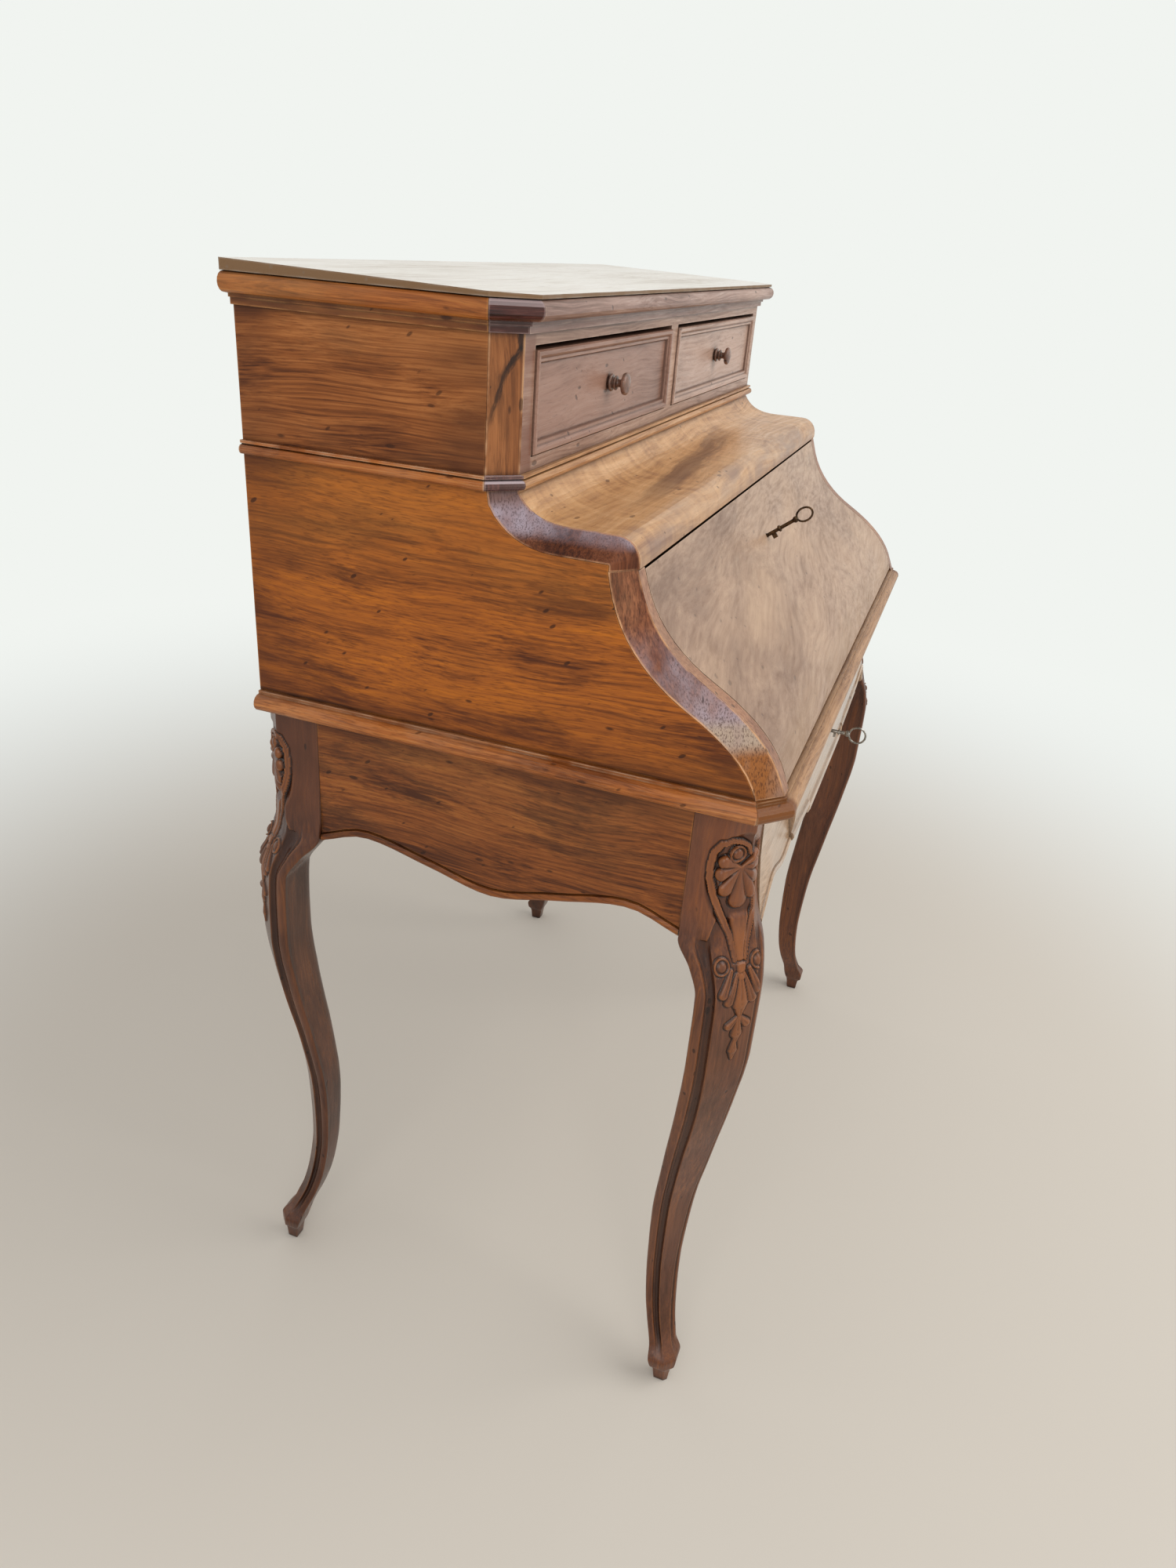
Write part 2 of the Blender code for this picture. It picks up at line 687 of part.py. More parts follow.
def canted_path(front, cant):
    """Plan of the case from its back left corner round the front to its back right corner."""
    corner = HALF_WIDTH - CHAMFER
    points = [(-HALF_WIDTH, BACK_Y), (-HALF_WIDTH, front + cant), (-corner, front),
              (corner, front), (HALF_WIDTH, front + cant), (HALF_WIDTH, BACK_Y)]
    return [Vector(point) for point in points]


def base_profile():
    """Cove below, bold ovolo, quirk and fillet, as (projection, z)."""
    low = Z_BASE
    step = low + BASE_HEIGHT * 0.27
    cove = [(-BASE_STEP - BASE_COVE * math.cos(math.radians(angle)),
             low + BASE_HEIGHT * 0.27 * math.sin(math.radians(angle))) for angle in (0, 25, 50, 75, 90)]
    radius = BASE_HEIGHT * 0.28
    ovolo = arc((BASE_NOSE - radius, low + BASE_HEIGHT * 0.593), radius, -80, 75, 6)
    fillet = BASE_NOSE * 0.28
    top = Z_CASE - GAP
    return ([(-BASE_SEAT, low)] + cove + [(-BASE_STEP, step + GROOVE)] + ovolo
            + [(fillet, low + BASE_HEIGHT * 0.88), (fillet, top), (-BASE_SEAT, top)])


def bead_profile():
    """Half-round below a quirk and a fillet, as (projection, z)."""
    radius = BEAD_HEIGHT * 0.34
    centre = BEAD_NOSE - radius
    round_part = arc((centre, Z_DECK + radius), radius, -90, 90, 6)
    top = Z_GRADIN - GAP
    quirk = Z_DECK + 2 * radius + GROOVE / 2
    return ([(GAP, Z_DECK)] + round_part + [(centre - GROOVE, quirk), (BEAD_NOSE * 0.64, quirk + GROOVE / 4),
            (BEAD_NOSE * 0.64, top), (GAP, top)])


def cornice_profile():
    """Fascia and fillet under a half-round nose, as (projection, z)."""
    radius = CORNICE_HEIGHT * 0.316
    centre = CORNICE_NOSE - radius
    top = Z_TOP - GAP
    fascia = Z_CORNICE + CORNICE_HEIGHT * 0.22
    fillet = Z_CORNICE + CORNICE_HEIGHT * 0.33
    nose = arc((centre, top - radius), radius, -90, 90, 8)
    return ([(GAP, Z_CORNICE), (CORNICE_NOSE * 0.22, Z_CORNICE), (CORNICE_NOSE * 0.22, fascia),
             (CORNICE_NOSE * 0.34, fascia), (CORNICE_NOSE * 0.34, fillet)] + nose + [(GAP, top)])


def make_mouldings(palette):
    """Base moulding, bead and cornice, the last two with dark blocks at their corners."""
    base = canted_path(Y_FOOT, CANT_DEPTH)
    lengths = (("left", 0, 1, "walnut"), ("front", 1, 4, "honey"), ("right", 4, 5, "walnut"))
    for name, first, last, tone in lengths:
        piece = run_moulding("base_moulding_" + name, base, first, last, base_profile(), palette[tone])
        if name == "front":
            join(piece, front_rail())
            cut(piece, drawer_mortise())
    upper = canted_path(Y_GRADIN, CHAMFER)
    runs = (("left", 0, 1, "walnut"), ("corner_left", 1, 2, "dark"), ("front", 2, 3, "faded"),
            ("corner_right", 3, 4, "dark"), ("right", 4, 5, "walnut"))
    for name, first, last, tone in runs:
        run_moulding("bead_" + name, upper, first, last, bead_profile(), palette[tone])
        run_moulding("cornice_" + name, upper, first, last, cornice_profile(), palette[tone])


def front_rail():
    """Rail behind the front moulding, which takes the drawer's bolt and the writing bed's edge."""
    half = HALF_WIDTH - BASE_SEAT - RUN
    front = Y_FOOT + BASE_SEAT
    return block("front_rail", (-half, front - RUN, Z_BASE), (half, front + BASE_RAIL, Z_CASE - GAP), None)


def drawer_mortise():
    """Pocket over the frieze drawer for its bolt."""
    half = BOLT_HALF + 2 * BOLT_PLAY
    middle = frieze_back() - LOCK_DEPTH / 2
    deep = BOLT_THICK / 2 + 2 * BOLT_PLAY
    return block("drawer_mortise", (-half, middle - deep, Z_BASE - RUN),
                 (half, middle + deep, Z_BASE + DRAWER_BOLT_THROW), None)


# Case

def make_case(palette):
    """Sides, back, writing bed, deck, shelf, canted corners and the stiles beside the fall."""
    face = ogee_curve()
    shelf = shelf_curve()
    for name, side in (("left", -1), ("right", 1)):
        make_side_panel("side_panel_" + name, side, shelf, face, palette["walnut"])
        make_strip("canted_strip_upper_" + name, side, shelf, behind(shelf, CANT_DEPTH), palette["dark"])
        low = Z_CASE
        high = Z_LIP - GAP
        front = resampled(clipped(face, low, high), 20)
        rear = resampled(clipped(behind(face, CANT_DEPTH), low, high), 20)
        make_strip("canted_strip_lower_" + name, side, front, rear, palette["dark"])
        make_stile("fall_stile_" + name, side, face, palette["honey"])
        make_pin("fall_pivot_" + name, side, palette["iron"])
    inside = HALF_INSIDE - GAP
    block("back_panel", (-inside, Y_INSIDE, Z_CASE), (inside, BACK_Y, Z_TOP - GAP), palette["inner"])
    across("writing_bed", bed_outline(), -inside, inside, palette["walnut"])
    block("case_deck", (-inside, Y_GRADIN + CANT_DEPTH + GAP, Z_DECK - DECK_THICK),
          (inside, Y_INSIDE - GAP, Z_DECK - GAP), palette["inner"])
    block("pigeonhole_shelf", (-inside, Y_INSIDE - GAP - SHELF_REACH, Z_BED + SHELF_UP),
          (inside, Y_INSIDE - GAP, Z_BED + SHELF_UP + SHELF_BOARD), palette["inner"])
    make_shelf(shelf, palette["honey"])


def make_side_panel(name, side, shelf, face, surface):
    """Shaped case side, its front edge set behind the canted corner."""
    upper = behind(shelf, CANT_DEPTH + GAP)
    lower = clipped(behind(face, CANT_DEPTH + GAP), Z_CASE, Z_LIP - GAP)
    top = Z_DECK - GAP
    outline = [(BACK_Y, top)] + [tuple(point) for point in upper] + [tuple(point) for point in lower]
    outline.append((BACK_Y, Z_CASE))
    return across(name, outline, side * HALF_INSIDE, side * HALF_WIDTH, surface, None, 25)


def make_strip(name, side, front, rear, surface):
    """Canted corner strip, three-sided, from the front edge back to the case side."""
    rings = []
    for near, far in zip(front, rear):
        rings.append([(side * HALF_INSIDE, near.x, near.y), (side * HALF_WIDTH, far.x, far.y),
                      (side * HALF_INSIDE, far.x, far.y)])
    return loft(name, rings, surface, None, 35)


def make_stile(name, side, face, surface):
    """Narrow fixed stile between a canted corner and the fall, bored for the pivot."""
    front = stile_edge(face)
    rear = stile_edge(behind(face, STILE_DEPTH))
    outline = front + rear[::-1]
    outer = HALF_INSIDE - GAP
    piece = across(name, outline, side * (outer - STILE_WIDTH), side * outer, surface, None, 25)
    cut(piece, pivot_bore(name + "_bore", side, outer - STILE_WIDTH - GAP, outer + GAP))
    return piece


def stile_edge(curve):
    """Part of a curve between the base and the face of the lock rail."""
    lower = ended(curve, Vector((0.0, -1.0)), -Z_CASE)
    along = Vector((math.cos(SLOPE), math.sin(SLOPE)))
    return ended(lower[::-1], along, along.dot(PIVOT) + RAIL_AT - GAP)[::-1]


def pivot_bore(name, side, start, end):
    """Cutter for a pivot's hole."""
    return make_rod(name, side, PIN_RADIUS + GAP, start, end, None)


def make_rod(name, side, radius, start, end, surface):
    """Round bar along X on the pivot's axis."""
    rings = []
    for x in (start, end):
        ring = []
        for step in range(12):
            angle = 2 * math.pi * step / 12
            ring.append((side * x, PIVOT.x + radius * math.cos(angle), PIVOT.y + radius * math.sin(angle)))
        rings.append(ring)
    return loft(name, rings, surface, None, 40)


def make_pin(name, side, surface):
    """Iron pivot, fixed in the stile and turning in the fall's end."""
    outer = HALF_INSIDE - 2 * GAP
    return make_rod(name, side, PIN_RADIUS, FALL_HALF - PIN_IN_FALL, outer, surface)


def make_shelf(curve, surface):
    """Cove, shelf and lip in one board, with the lock rail that the fall closes against."""
    inside = HALF_INSIDE - GAP
    back = Y_GRADIN + CANT_DEPTH
    under = Z_SHELF - SHELF_THICK
    deep = -PIVOT_ROUND - LOCK_DEPTH / 2
    rail_front = from_fall((RAIL_AT, deep))
    rail_back = from_fall((RAIL_AT + RAIL_THICK, deep))
    outline = [(back, Z_DECK - GAP)] + [tuple(point) for point in curve]
    outline += [tuple(rail_front), tuple(rail_back), (rail_back.x, under), (back, under)]
    piece = across("cove_shelf", outline, -inside, inside, surface, None, 25)
    half = BOLT_HALF + 2 * BOLT_PLAY
    middle = LOCK_DEPTH / 2 - PIVOT_ROUND
    deep = BOLT_THICK / 2 + 2 * BOLT_PLAY
    mortise = block("fall_mortise", (-half, RAIL_AT - RUN, middle - deep),
                    (half, FALL_TOP + FALL_BOLT_THROW + 2 * BOLT_PLAY, middle + deep), None,
                    axis_empty("fall_mortise_axis", (0.0, PIVOT.x, PIVOT.y), SLOPE))
    cut(piece, mortise)
    return piece


# Fall front with its lock

def make_fall(palette):
    """Ogee fall with a flat inner face, its lock, bolt and key, all hung on the pivot's axis."""
    hinge = axis_empty("fall_axis", (0.0, PIVOT.x, PIVOT.y), SLOPE)
    panel = across("fall_front", fall_outline(), -FALL_HALF, FALL_HALF, palette["honey"], hinge, 25)
    for side in (-1, 1):
        bore = pivot_bore("fall_bore_%d" % side, side, FALL_HALF - PIN_IN_FALL - GAP, FALL_HALF + GAP)
        cut(panel, bore)
    inner = -PIVOT_ROUND
    low = FALL_TOP - FALL_LOCK_LENGTH
    notch = block("fall_lock_notch", (-LOCK_HALF - GAP, low - GAP, inner - GAP),
                  (LOCK_HALF + GAP, FALL_TOP + RUN, inner + LOCK_DEPTH + GAP), None, hinge)
    cut(panel, notch)
    lock = block("fall_lock", (-LOCK_HALF, low, inner), (LOCK_HALF, FALL_TOP, inner + LOCK_DEPTH),
                 palette["iron"], hinge)
    make_bolt("fall_bolt", lock, FALL_TOP, inner + LOCK_DEPTH / 2, palette["steel"], hinge)
    axle = axis_empty("fall_key_axis", (0.0, FALL_TOP - FALL_KEY_BELOW, inner + LOCK_DEPTH), KEY_DROOP)
    axle.parent = hinge
    skin = fall_key_skin()
    hole = turned("fall_keyhole", [(KEY_HOLE, -RUN), (KEY_HOLE, skin + FALL_TOP_THICK)],
                  (0.0, 0.0, 0.0), None, axle, 12)
    cut(panel, hole)
    socket = turned("fall_lock_hole", [(KEY_HOLE, -KEY_IN - GAP), (KEY_HOLE, skin)],
                    (0.0, 0.0, 0.0), None, axle, 12)
    cut(lock, socket)
    make_key("fall_key", axle, skin, FALL_KEY_OUT, FALL_BOW, palette["iron"])


def fall_key_skin():
    """Length of the key from its lock to the fall's face, along the drooping key."""
    start = LOCK_DEPTH - PIVOT_ROUND
    length = 0.0
    for _ in range(8):
        height = FALL_TOP - FALL_KEY_BELOW - length * math.sin(KEY_DROOP)
        length = (fall_face_at(height) - start) / math.cos(KEY_DROOP)
    return length


def fall_outline():
    """Section of the fall in its own frame: ogee face, half-round foot, flat inner face, square top."""
    face = [to_fall(point) for point in ogee_curve()]
    face = ended(face[::-1], Vector((1.0, 0.0)), FALL_TOP)[::-1]
    outer = []
    leave = face[-1]
    for upper, lower in zip(face, face[1:]):
        outer.append(upper)
        if upper.length <= PIVOT_ROUND <= lower.length:
            leave = upper.lerp(lower, (PIVOT_ROUND - upper.length) / (lower.length - upper.length))
            break
    start = math.degrees(math.atan2(leave.y, leave.x)) % 360
    return outer + arc((0.0, 0.0), PIVOT_ROUND, start, 270, 6) + [(FALL_TOP, -PIVOT_ROUND)]


def fall_face_at(height):
    """How far the face stands out of the pivot's plane at a height in the fall's own frame."""
    face = [to_fall(point) for point in ogee_curve()]
    for upper, lower in zip(face, face[1:]):
        if lower.x <= height <= upper.x:
            return upper.lerp(lower, (upper.x - height) / (upper.x - lower.x)).y
    return face[0].y


def make_bolt(name, lock, top, middle, surface, parent):
    """Flat bolt in a slot of its lock, drawn back flush with the lock's edge."""
    thick = BOLT_THICK / 2
    slot = block(name + "_slot",
                 (-BOLT_HALF - BOLT_PLAY, top - BOLT_LENGTH - BOLT_PLAY, middle - thick - BOLT_PLAY),
                 (BOLT_HALF + BOLT_PLAY, top + RUN, middle + thick + BOLT_PLAY), None, parent)
    cut(lock, slot)
    return block(name, (-BOLT_HALF, top - BOLT_LENGTH, middle - thick),
                 (BOLT_HALF, top - BOLT_PLAY, middle + thick), surface, parent)


def make_key(name, axle, skin, reach, bow, surface):
    """Key on its own axis: shank with two collars, a bit just outside the wood, and a wire bow."""
    r = KEY_RADIUS
    end = skin + reach
    profile = [(r, -KEY_IN), (r, skin + reach * 0.36),
               (r * 1.8, skin + reach * 0.39), (r * 1.8, skin + reach * 0.43),
               (r, skin + reach * 0.46), (r, end - r * 3),
               (r * 1.7, end - r * 2), (r * 1.7, end - r), (r, end)]
    key = turned(name, profile, (0.0, 0.0, 0.0), surface, axle, 10)
    centre = end + bow[0] - BOW_WIRE
    rings = []
    for step in range(20):
        angle = 2 * math.pi * step / 20
        radial = Vector((0.0, bow[1] * math.sin(angle), bow[0] * math.cos(angle)))
        outward = radial.normalized()
        ring = []
        for side in range(6):
            turn = 2 * math.pi * side / 6
            offset = outward * math.cos(turn) * BOW_WIRE + Vector((math.sin(turn) * BOW_WIRE, 0.0, 0.0))
            ring.append(Vector((0.0, 0.0, centre)) + radial + offset)
        rings.append(ring)
    join(key, loft(name + "_bow", rings, None, axle, None, True))
    bit = block(name + "_bit", (-r * 0.55, -r * 3.4, skin + reach * 0.13),
                (r * 0.55, 0.0, skin + reach * 0.26), None, axle)
    join(key, bit)
    return key


# Upper case

def make_gradin(palette):
    """Sides, canted posts, framed front, divider and top board of the upper case."""
    low = Z_DECK
    high = Z_TOP - GAP
    for name, side in (("left", -1), ("right", 1)):
        wall = sorted((side * HALF_WIDTH, side * (HALF_WIDTH - SIDE_WALL)))
        block("gradin_side_" + name, (wall[0], Y_GRADIN + CHAMFER + GAP, low),
              (wall[1], BACK_Y, high), palette["walnut"])
        post = [(side * HALF_WIDTH, Y_GRADIN + CHAMFER), (side * HALF_INSIDE, Y_GRADIN),
                (side * HALF_INSIDE, Y_GRADIN + CHAMFER)]
        upright("corner_post_" + name, post, low, high, palette["honey"])
    make_front_frame(low, high, palette["faded"])
    make_gradin_floor(low, high, palette["inner"])
    make_top(palette["bleached"])


def make_gradin_floor(low, high, surface):
    """Board under the small drawers with the upright divider between them."""
    half = DIVIDER_THICK / 2
    inside = HALF_INSIDE - GAP
    top = opening_heights()[0]
    outline = [(-inside, low), (inside, low), (inside, top), (half, top), (half, high), (-half, high),
               (-half, top), (-inside, top)]
    rings = [[(x, y, z) for x, z in outline] for y in (Y_GRADIN + FRAME_THICK + GAP, Y_INSIDE - GAP)]
    return loft("gradin_floor", rings, surface)


def opening_ends():
    """Left and right edge of a drawer's opening, from the middle of the desk."""
    return STILE_MIDDLE / 2, HALF_INSIDE - GAP - STILE_END


def opening_heights():
    """Bottom and top of the drawer openings."""
    return Z_GRADIN + RAIL_BOTTOM, Z_CORNICE - RAIL_TOP


def make_front_frame(low, high, surface):
    """Rails and stiles glued up as one frame round the two drawers."""
    inside = HALF_INSIDE - GAP
    frame = block("gradin_front_frame", (-inside, Y_GRADIN, low),
                  (inside, Y_GRADIN + FRAME_THICK, high), surface)
    near, far = opening_ends()
    bottom, top = opening_heights()
    for side in (-1, 1):
        ends = sorted((side * near, side * far))
        hole = block("frame_opening_%d" % side, (ends[0], Y_GRADIN - FRAME_THICK, bottom),
                     (ends[1], Y_GRADIN + 2 * FRAME_THICK, top), None)
        cut(frame, hole)


def make_top(surface):
    """Top board, canted like the cornice and lifted along its back."""
    over = CORNICE_NOSE - TOP_SET
    path = canted_path(Y_GRADIN, CHAMFER)
    plan = [point + reach * over for point, reach in zip(path, mitres(path))]
    low = [(*point, Z_TOP) for point in plan]
    front = Y_GRADIN - over
    depth = BACK_Y - front
    high = [(*point, Z_TOP + TOP_FRONT + TOP_RISE * (point.y - front) / depth) for point in plan]
    return loft("top_board", [low, high], surface)


# Drawers

def framed_front(name, left, right, bottom, top, surface):
    """Small drawer front with a moulded frame round a sunk field."""
    face = Y_GRADIN - SMALL_FRONT_PROUD
    back = Y_GRADIN + SMALL_FRONT_THICK
    rings = []
    for inset, y in [(0.0, back)] + [(inset, face + sink) for inset, sink in FRAME_STEPS]:
        rings.append([(left + inset, y, bottom + inset), (right - inset, y, bottom + inset),
                      (right - inset, y, top - inset), (left + inset, y, top - inset)])
    return loft(name, rings, surface)


def drawer_box(name, left, right, front, back, bottom, top, surface):
    """Open drawer box: floor, two sides and a back, closed in front by the drawer's own front."""
    box = block(name, (left, front, bottom), (right, back, top), surface)
    hollow = block(name + "_hollow", (left + DRAWER_WALL, front - DRAWER_WALL, bottom + DRAWER_FLOOR),
                   (right - DRAWER_WALL, back - DRAWER_WALL, top + DRAWER_WALL), None)
    cut(box, hollow)
    return box


def make_knob(name, x, z, surface):
    """Turned knob: two base rings, waist and a disc head."""
    seat = Y_GRADIN - SMALL_FRONT_PROUD + FIELD_SINK - GAP
    axle = axis_empty(name + "_axis", (x, seat, z), math.radians(90))
    r = KNOB_RADIUS
    h = KNOB_REACH
    profile = [(r * 0.74, 0.0), (r * 0.78, h * 0.06), (r * 0.70, h * 0.13), (r * 0.58, h * 0.16),
               (r * 0.62, h * 0.23), (r * 0.46, h * 0.30), (r * 0.40, h * 0.42), (r * 0.44, h * 0.53),
               (r * 0.78, h * 0.58), (r * 0.97, h * 0.64), (r, h * 0.74), (r * 0.93, h * 0.87),
               (r * 0.62, h * 0.97), (r * 0.25, h)]
    return turned(name, profile, (0.0, 0.0, 0.0), surface, axle)


def make_small_drawers(palette):
    """The two drawers of the upper case, each with its front, box and knob."""
    near, far = opening_ends()
    bottom, top = opening_heights()
    for name, side in (("left", -1), ("right", 1)):
        ends = sorted((side * (near + RUN), side * (far - RUN)))
        framed_front("drawer_front_" + name, ends[0], ends[1], bottom + RUN, top - DRAWER_TOP_GAP,
                     palette["faded"])
        drawer_box("drawer_box_" + name, ends[0] + GAP, ends[1] - GAP, Y_GRADIN + SMALL_FRONT_THICK + GAP,
                   Y_INSIDE - DRAWER_BACK_SPACE, bottom + GAP, top - DRAWER_TOP_GAP, palette["inner"])
        make_knob("knob_" + name, (ends[0] + ends[1]) / 2, (bottom + top) / 2, palette["leg"])


def frieze_back():
    """Y of the back of the frieze drawer's front."""
    return Y_APRON + FRIEZE_THICK


def frieze_top():
    return LEG_HEIGHT - 2 * RUN


def frieze_edge(x):
    """Lower edge of the frieze drawer's front: deep in the middle, stepped up towards both ends."""
    reach = abs(x)
    if reach > FRIEZE_STEP:
        share = (reach - FRIEZE_STEP) / (FRIEZE_HALF - FRIEZE_STEP)
        eased = share * share * (3 - 2 * share)
        return LEG_HEIGHT - FRIEZE_STEP_DROP + (FRIEZE_STEP_DROP - FRIEZE_END_DROP) * eased
    over = max(0.0, reach - FRIEZE_STEP + FRIEZE_CORNER) / FRIEZE_CORNER
    rise = (FRIEZE_DROP - FRIEZE_STEP_DROP) * (1 - math.sqrt(max(0.0, 1 - over * over)))
    return LEG_HEIGHT - FRIEZE_DROP + rise


def frieze_section(edge):
    """Section of the frieze front as (outward, z): full face, quirk and bead."""
    top = frieze_top()
    quirk = edge + EDGE_BEAD * 1.3
    rise = top - quirk
    face = []
    for step in range(1, 7):
        share = step / 7
        face.append((FRIEZE_BULGE * math.sin(math.pi * share * 0.62) ** 0.8, top - rise * share))
    crown = FRIEZE_BULGE + EDGE_PROUD * 0.8
    side = FRIEZE_BULGE + EDGE_PROUD * 0.3
    bead = [(side, quirk - EDGE_BEAD * 0.10), (crown, edge + EDGE_BEAD * 0.65),
            (side, edge + EDGE_BEAD * 0.15)]
    back = -FRIEZE_THICK
    return ([(back, top), (0.0, top)] + face + [(FRIEZE_BULGE - GROOVE, quirk)] + bead
            + [(FRIEZE_BULGE * 0.8, edge), (back, edge)])


def make_frieze_drawer(palette):
    """Frieze drawer: bellied front, box, lock, bolt and key."""
    half = FRIEZE_HALF
    corner = FRIEZE_STEP - FRIEZE_CORNER
    turn = [corner + FRIEZE_CORNER * math.sin(math.radians(angle)) for angle in (0, 30, 55, 75, 88)]
    turn += [FRIEZE_STEP + (half - FRIEZE_STEP) * share for share in (0.15, 0.35, 0.55, 0.75, 1.0)]
    places = [-x for x in reversed(turn)] + [0.0] + turn
    rings = []
    for x in places:
        rings.append([(x, Y_APRON - out, z) for out, z in frieze_section(frieze_edge(x))])
    front = loft("frieze_drawer_front", rings, palette["faded"], None, 35)
    back = frieze_back()
    inside = half - FRIEZE_BOX_IN
    drawer_box("frieze_drawer_box", -inside, inside, back + GAP, back + GAP + FRIEZE_LENGTH, RUNNER_TOP + GAP,
               LEG_HEIGHT - GUIDE_HEIGHT, palette["inner"])
    top = frieze_top()
    axle = axis_empty("frieze_lock_axis", (0.0, back, 0.0), math.radians(90))
    notch = block("frieze_lock_notch", (-LOCK_HALF - GAP, top - DRAWER_LOCK_LENGTH - GAP, -GAP),
                  (LOCK_HALF + GAP, top + RUN, LOCK_DEPTH + GAP), None, axle)
    cut(front, notch)
    lock = block("frieze_lock", (-LOCK_HALF, top - DRAWER_LOCK_LENGTH, 0.0),
                 (LOCK_HALF, top, LOCK_DEPTH), palette["iron"], axle)
    make_bolt("frieze_bolt", lock, top, LOCK_DEPTH / 2, palette["steel"], axle)
    key_at = top - DRAWER_KEY_BELOW
    skin = FRIEZE_THICK + FRIEZE_BULGE
    hole = turned("frieze_keyhole", [(KEY_HOLE, 0.0), (KEY_HOLE, skin + FRIEZE_BULGE)],
                  (0.0, key_at, 0.0), None, axle, 12)
    cut(front, hole)
    socket = turned("frieze_lock_hole", [(KEY_HOLE, LOCK_DEPTH - KEY_IN - GAP), (KEY_HOLE, skin)],
                    (0.0, key_at, 0.0), None, axle, 12)
    cut(lock, socket)
    key_axis = axis_empty("frieze_key_axis", (0.0, key_at, LOCK_DEPTH), 0.0)
    key_axis.parent = axle
    make_key("frieze_key", key_axis, skin - LOCK_DEPTH, DRAWER_KEY_OUT, DRAWER_BOW, palette["steel"])


def main():
    for old in list(bpy.data.objects):
        bpy.data.objects.remove(old, do_unlink=True)
    palette = make_palette()
    make_base(palette)
    make_mouldings(palette)
    make_case(palette)
    make_gradin(palette)
    make_small_drawers(palette)
    make_fall(palette)
    make_frieze_drawer(palette)


main()
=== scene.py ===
"""Looks of a slant-front writing desk: woods, carved legs, turned knobs, lock screws and stage."""

import json
import math

import bpy
import numpy as np
from mathutils import Matrix, Vector

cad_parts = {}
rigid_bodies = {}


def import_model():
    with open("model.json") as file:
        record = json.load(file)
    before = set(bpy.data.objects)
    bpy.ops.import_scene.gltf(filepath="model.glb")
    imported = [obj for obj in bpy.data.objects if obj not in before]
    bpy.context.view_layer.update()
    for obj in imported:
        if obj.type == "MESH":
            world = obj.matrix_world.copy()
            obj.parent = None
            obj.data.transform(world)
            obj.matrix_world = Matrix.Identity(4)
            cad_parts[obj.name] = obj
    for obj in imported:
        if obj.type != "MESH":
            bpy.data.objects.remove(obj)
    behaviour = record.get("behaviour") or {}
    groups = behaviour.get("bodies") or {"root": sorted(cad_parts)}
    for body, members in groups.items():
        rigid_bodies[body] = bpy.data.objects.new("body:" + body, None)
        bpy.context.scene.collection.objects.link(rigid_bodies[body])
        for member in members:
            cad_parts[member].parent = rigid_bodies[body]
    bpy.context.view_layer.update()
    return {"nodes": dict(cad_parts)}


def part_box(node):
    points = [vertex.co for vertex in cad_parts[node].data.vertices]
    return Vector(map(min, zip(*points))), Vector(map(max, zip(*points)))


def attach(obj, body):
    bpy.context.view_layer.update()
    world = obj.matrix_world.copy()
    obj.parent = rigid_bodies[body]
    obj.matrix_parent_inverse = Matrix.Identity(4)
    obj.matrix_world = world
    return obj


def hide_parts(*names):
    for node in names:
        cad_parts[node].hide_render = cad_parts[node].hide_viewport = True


for spare in list(bpy.data.objects):
    bpy.data.objects.remove(spare)
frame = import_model()

bl_info = {
    "name": "Slant-front writing desk",
    "version": (1, 0, 0),
    "blender": (4, 5, 0),
    "location": "3D View > Sidebar > Desk",
    "description": "Dresses the packed desk with old waxed walnut, carved legs, knobs and screws",
    "category": "Object",
}

MM = 0.001
LEFT_RIGHT = ("left", "right")
LEGS = ("leg_front_left", "leg_front_right", "leg_back_left", "leg_back_right")

# Carving of the knee, in millimetres: along the skin from the middle of the canted face
# (negative towards the desk's side), height above the floor, and half the width there.
SIDE_RIBBON = (
    (12.0, 700.0, 1.5), (9.5, 707.5, 1.9), (2.0, 712.5, 2.1), (-9.0, 715.5, 2.3), (-18.5, 712.5, 2.8),
    (-24.8, 702.5, 3.1), (-26.5, 690.0, 3.2), (-26.0, 676.5, 3.3), (-22.0, 662.0, 3.3), (-16.5, 648.0, 3.3),
    (-9.0, 630.0, 3.1), (-4.2, 616.5, 2.7), (-2.6, 603.5, 2.2), (-1.6, 592.0, 1.7),
)
FRONT_RIBBON = (
    (34.0, 701.0, 2.4), (36.5, 689.0, 3.0), (36.0, 676.0, 3.2), (32.0, 661.0, 3.3), (26.5, 648.0, 3.3),
    (21.5, 635.0, 3.1), (17.5, 620.0, 2.8), (13.0, 604.0, 2.2), (10.0, 592.0, 1.7),
)
SCROLL_EYE = (-1.2, 701.0, 8.4)
SHELL_ROOT = (4.0, 687.0)
# Lobes of the shell: their far ends and half widths.
SHELL_LOBES = (
    (-20.0, 697.0, 6.6), (-22.0, 680.0, 7.2), (-13.0, 658.5, 7.8), (5.0, 642.5, 9.6),
    (22.0, 652.0, 7.6), (31.0, 667.0, 7.0), (32.0, 685.0, 6.6), (26.5, 699.0, 5.0),
)
STEM_TOP = (7.5, 636.0, 11.0)
STEM_END = (4.0, 573.0, 3.4)
STEM_NOTCH = 590.5
CURLS = ((-15.7, 588.5, 8.6), (24.0, 588.5, 8.6))
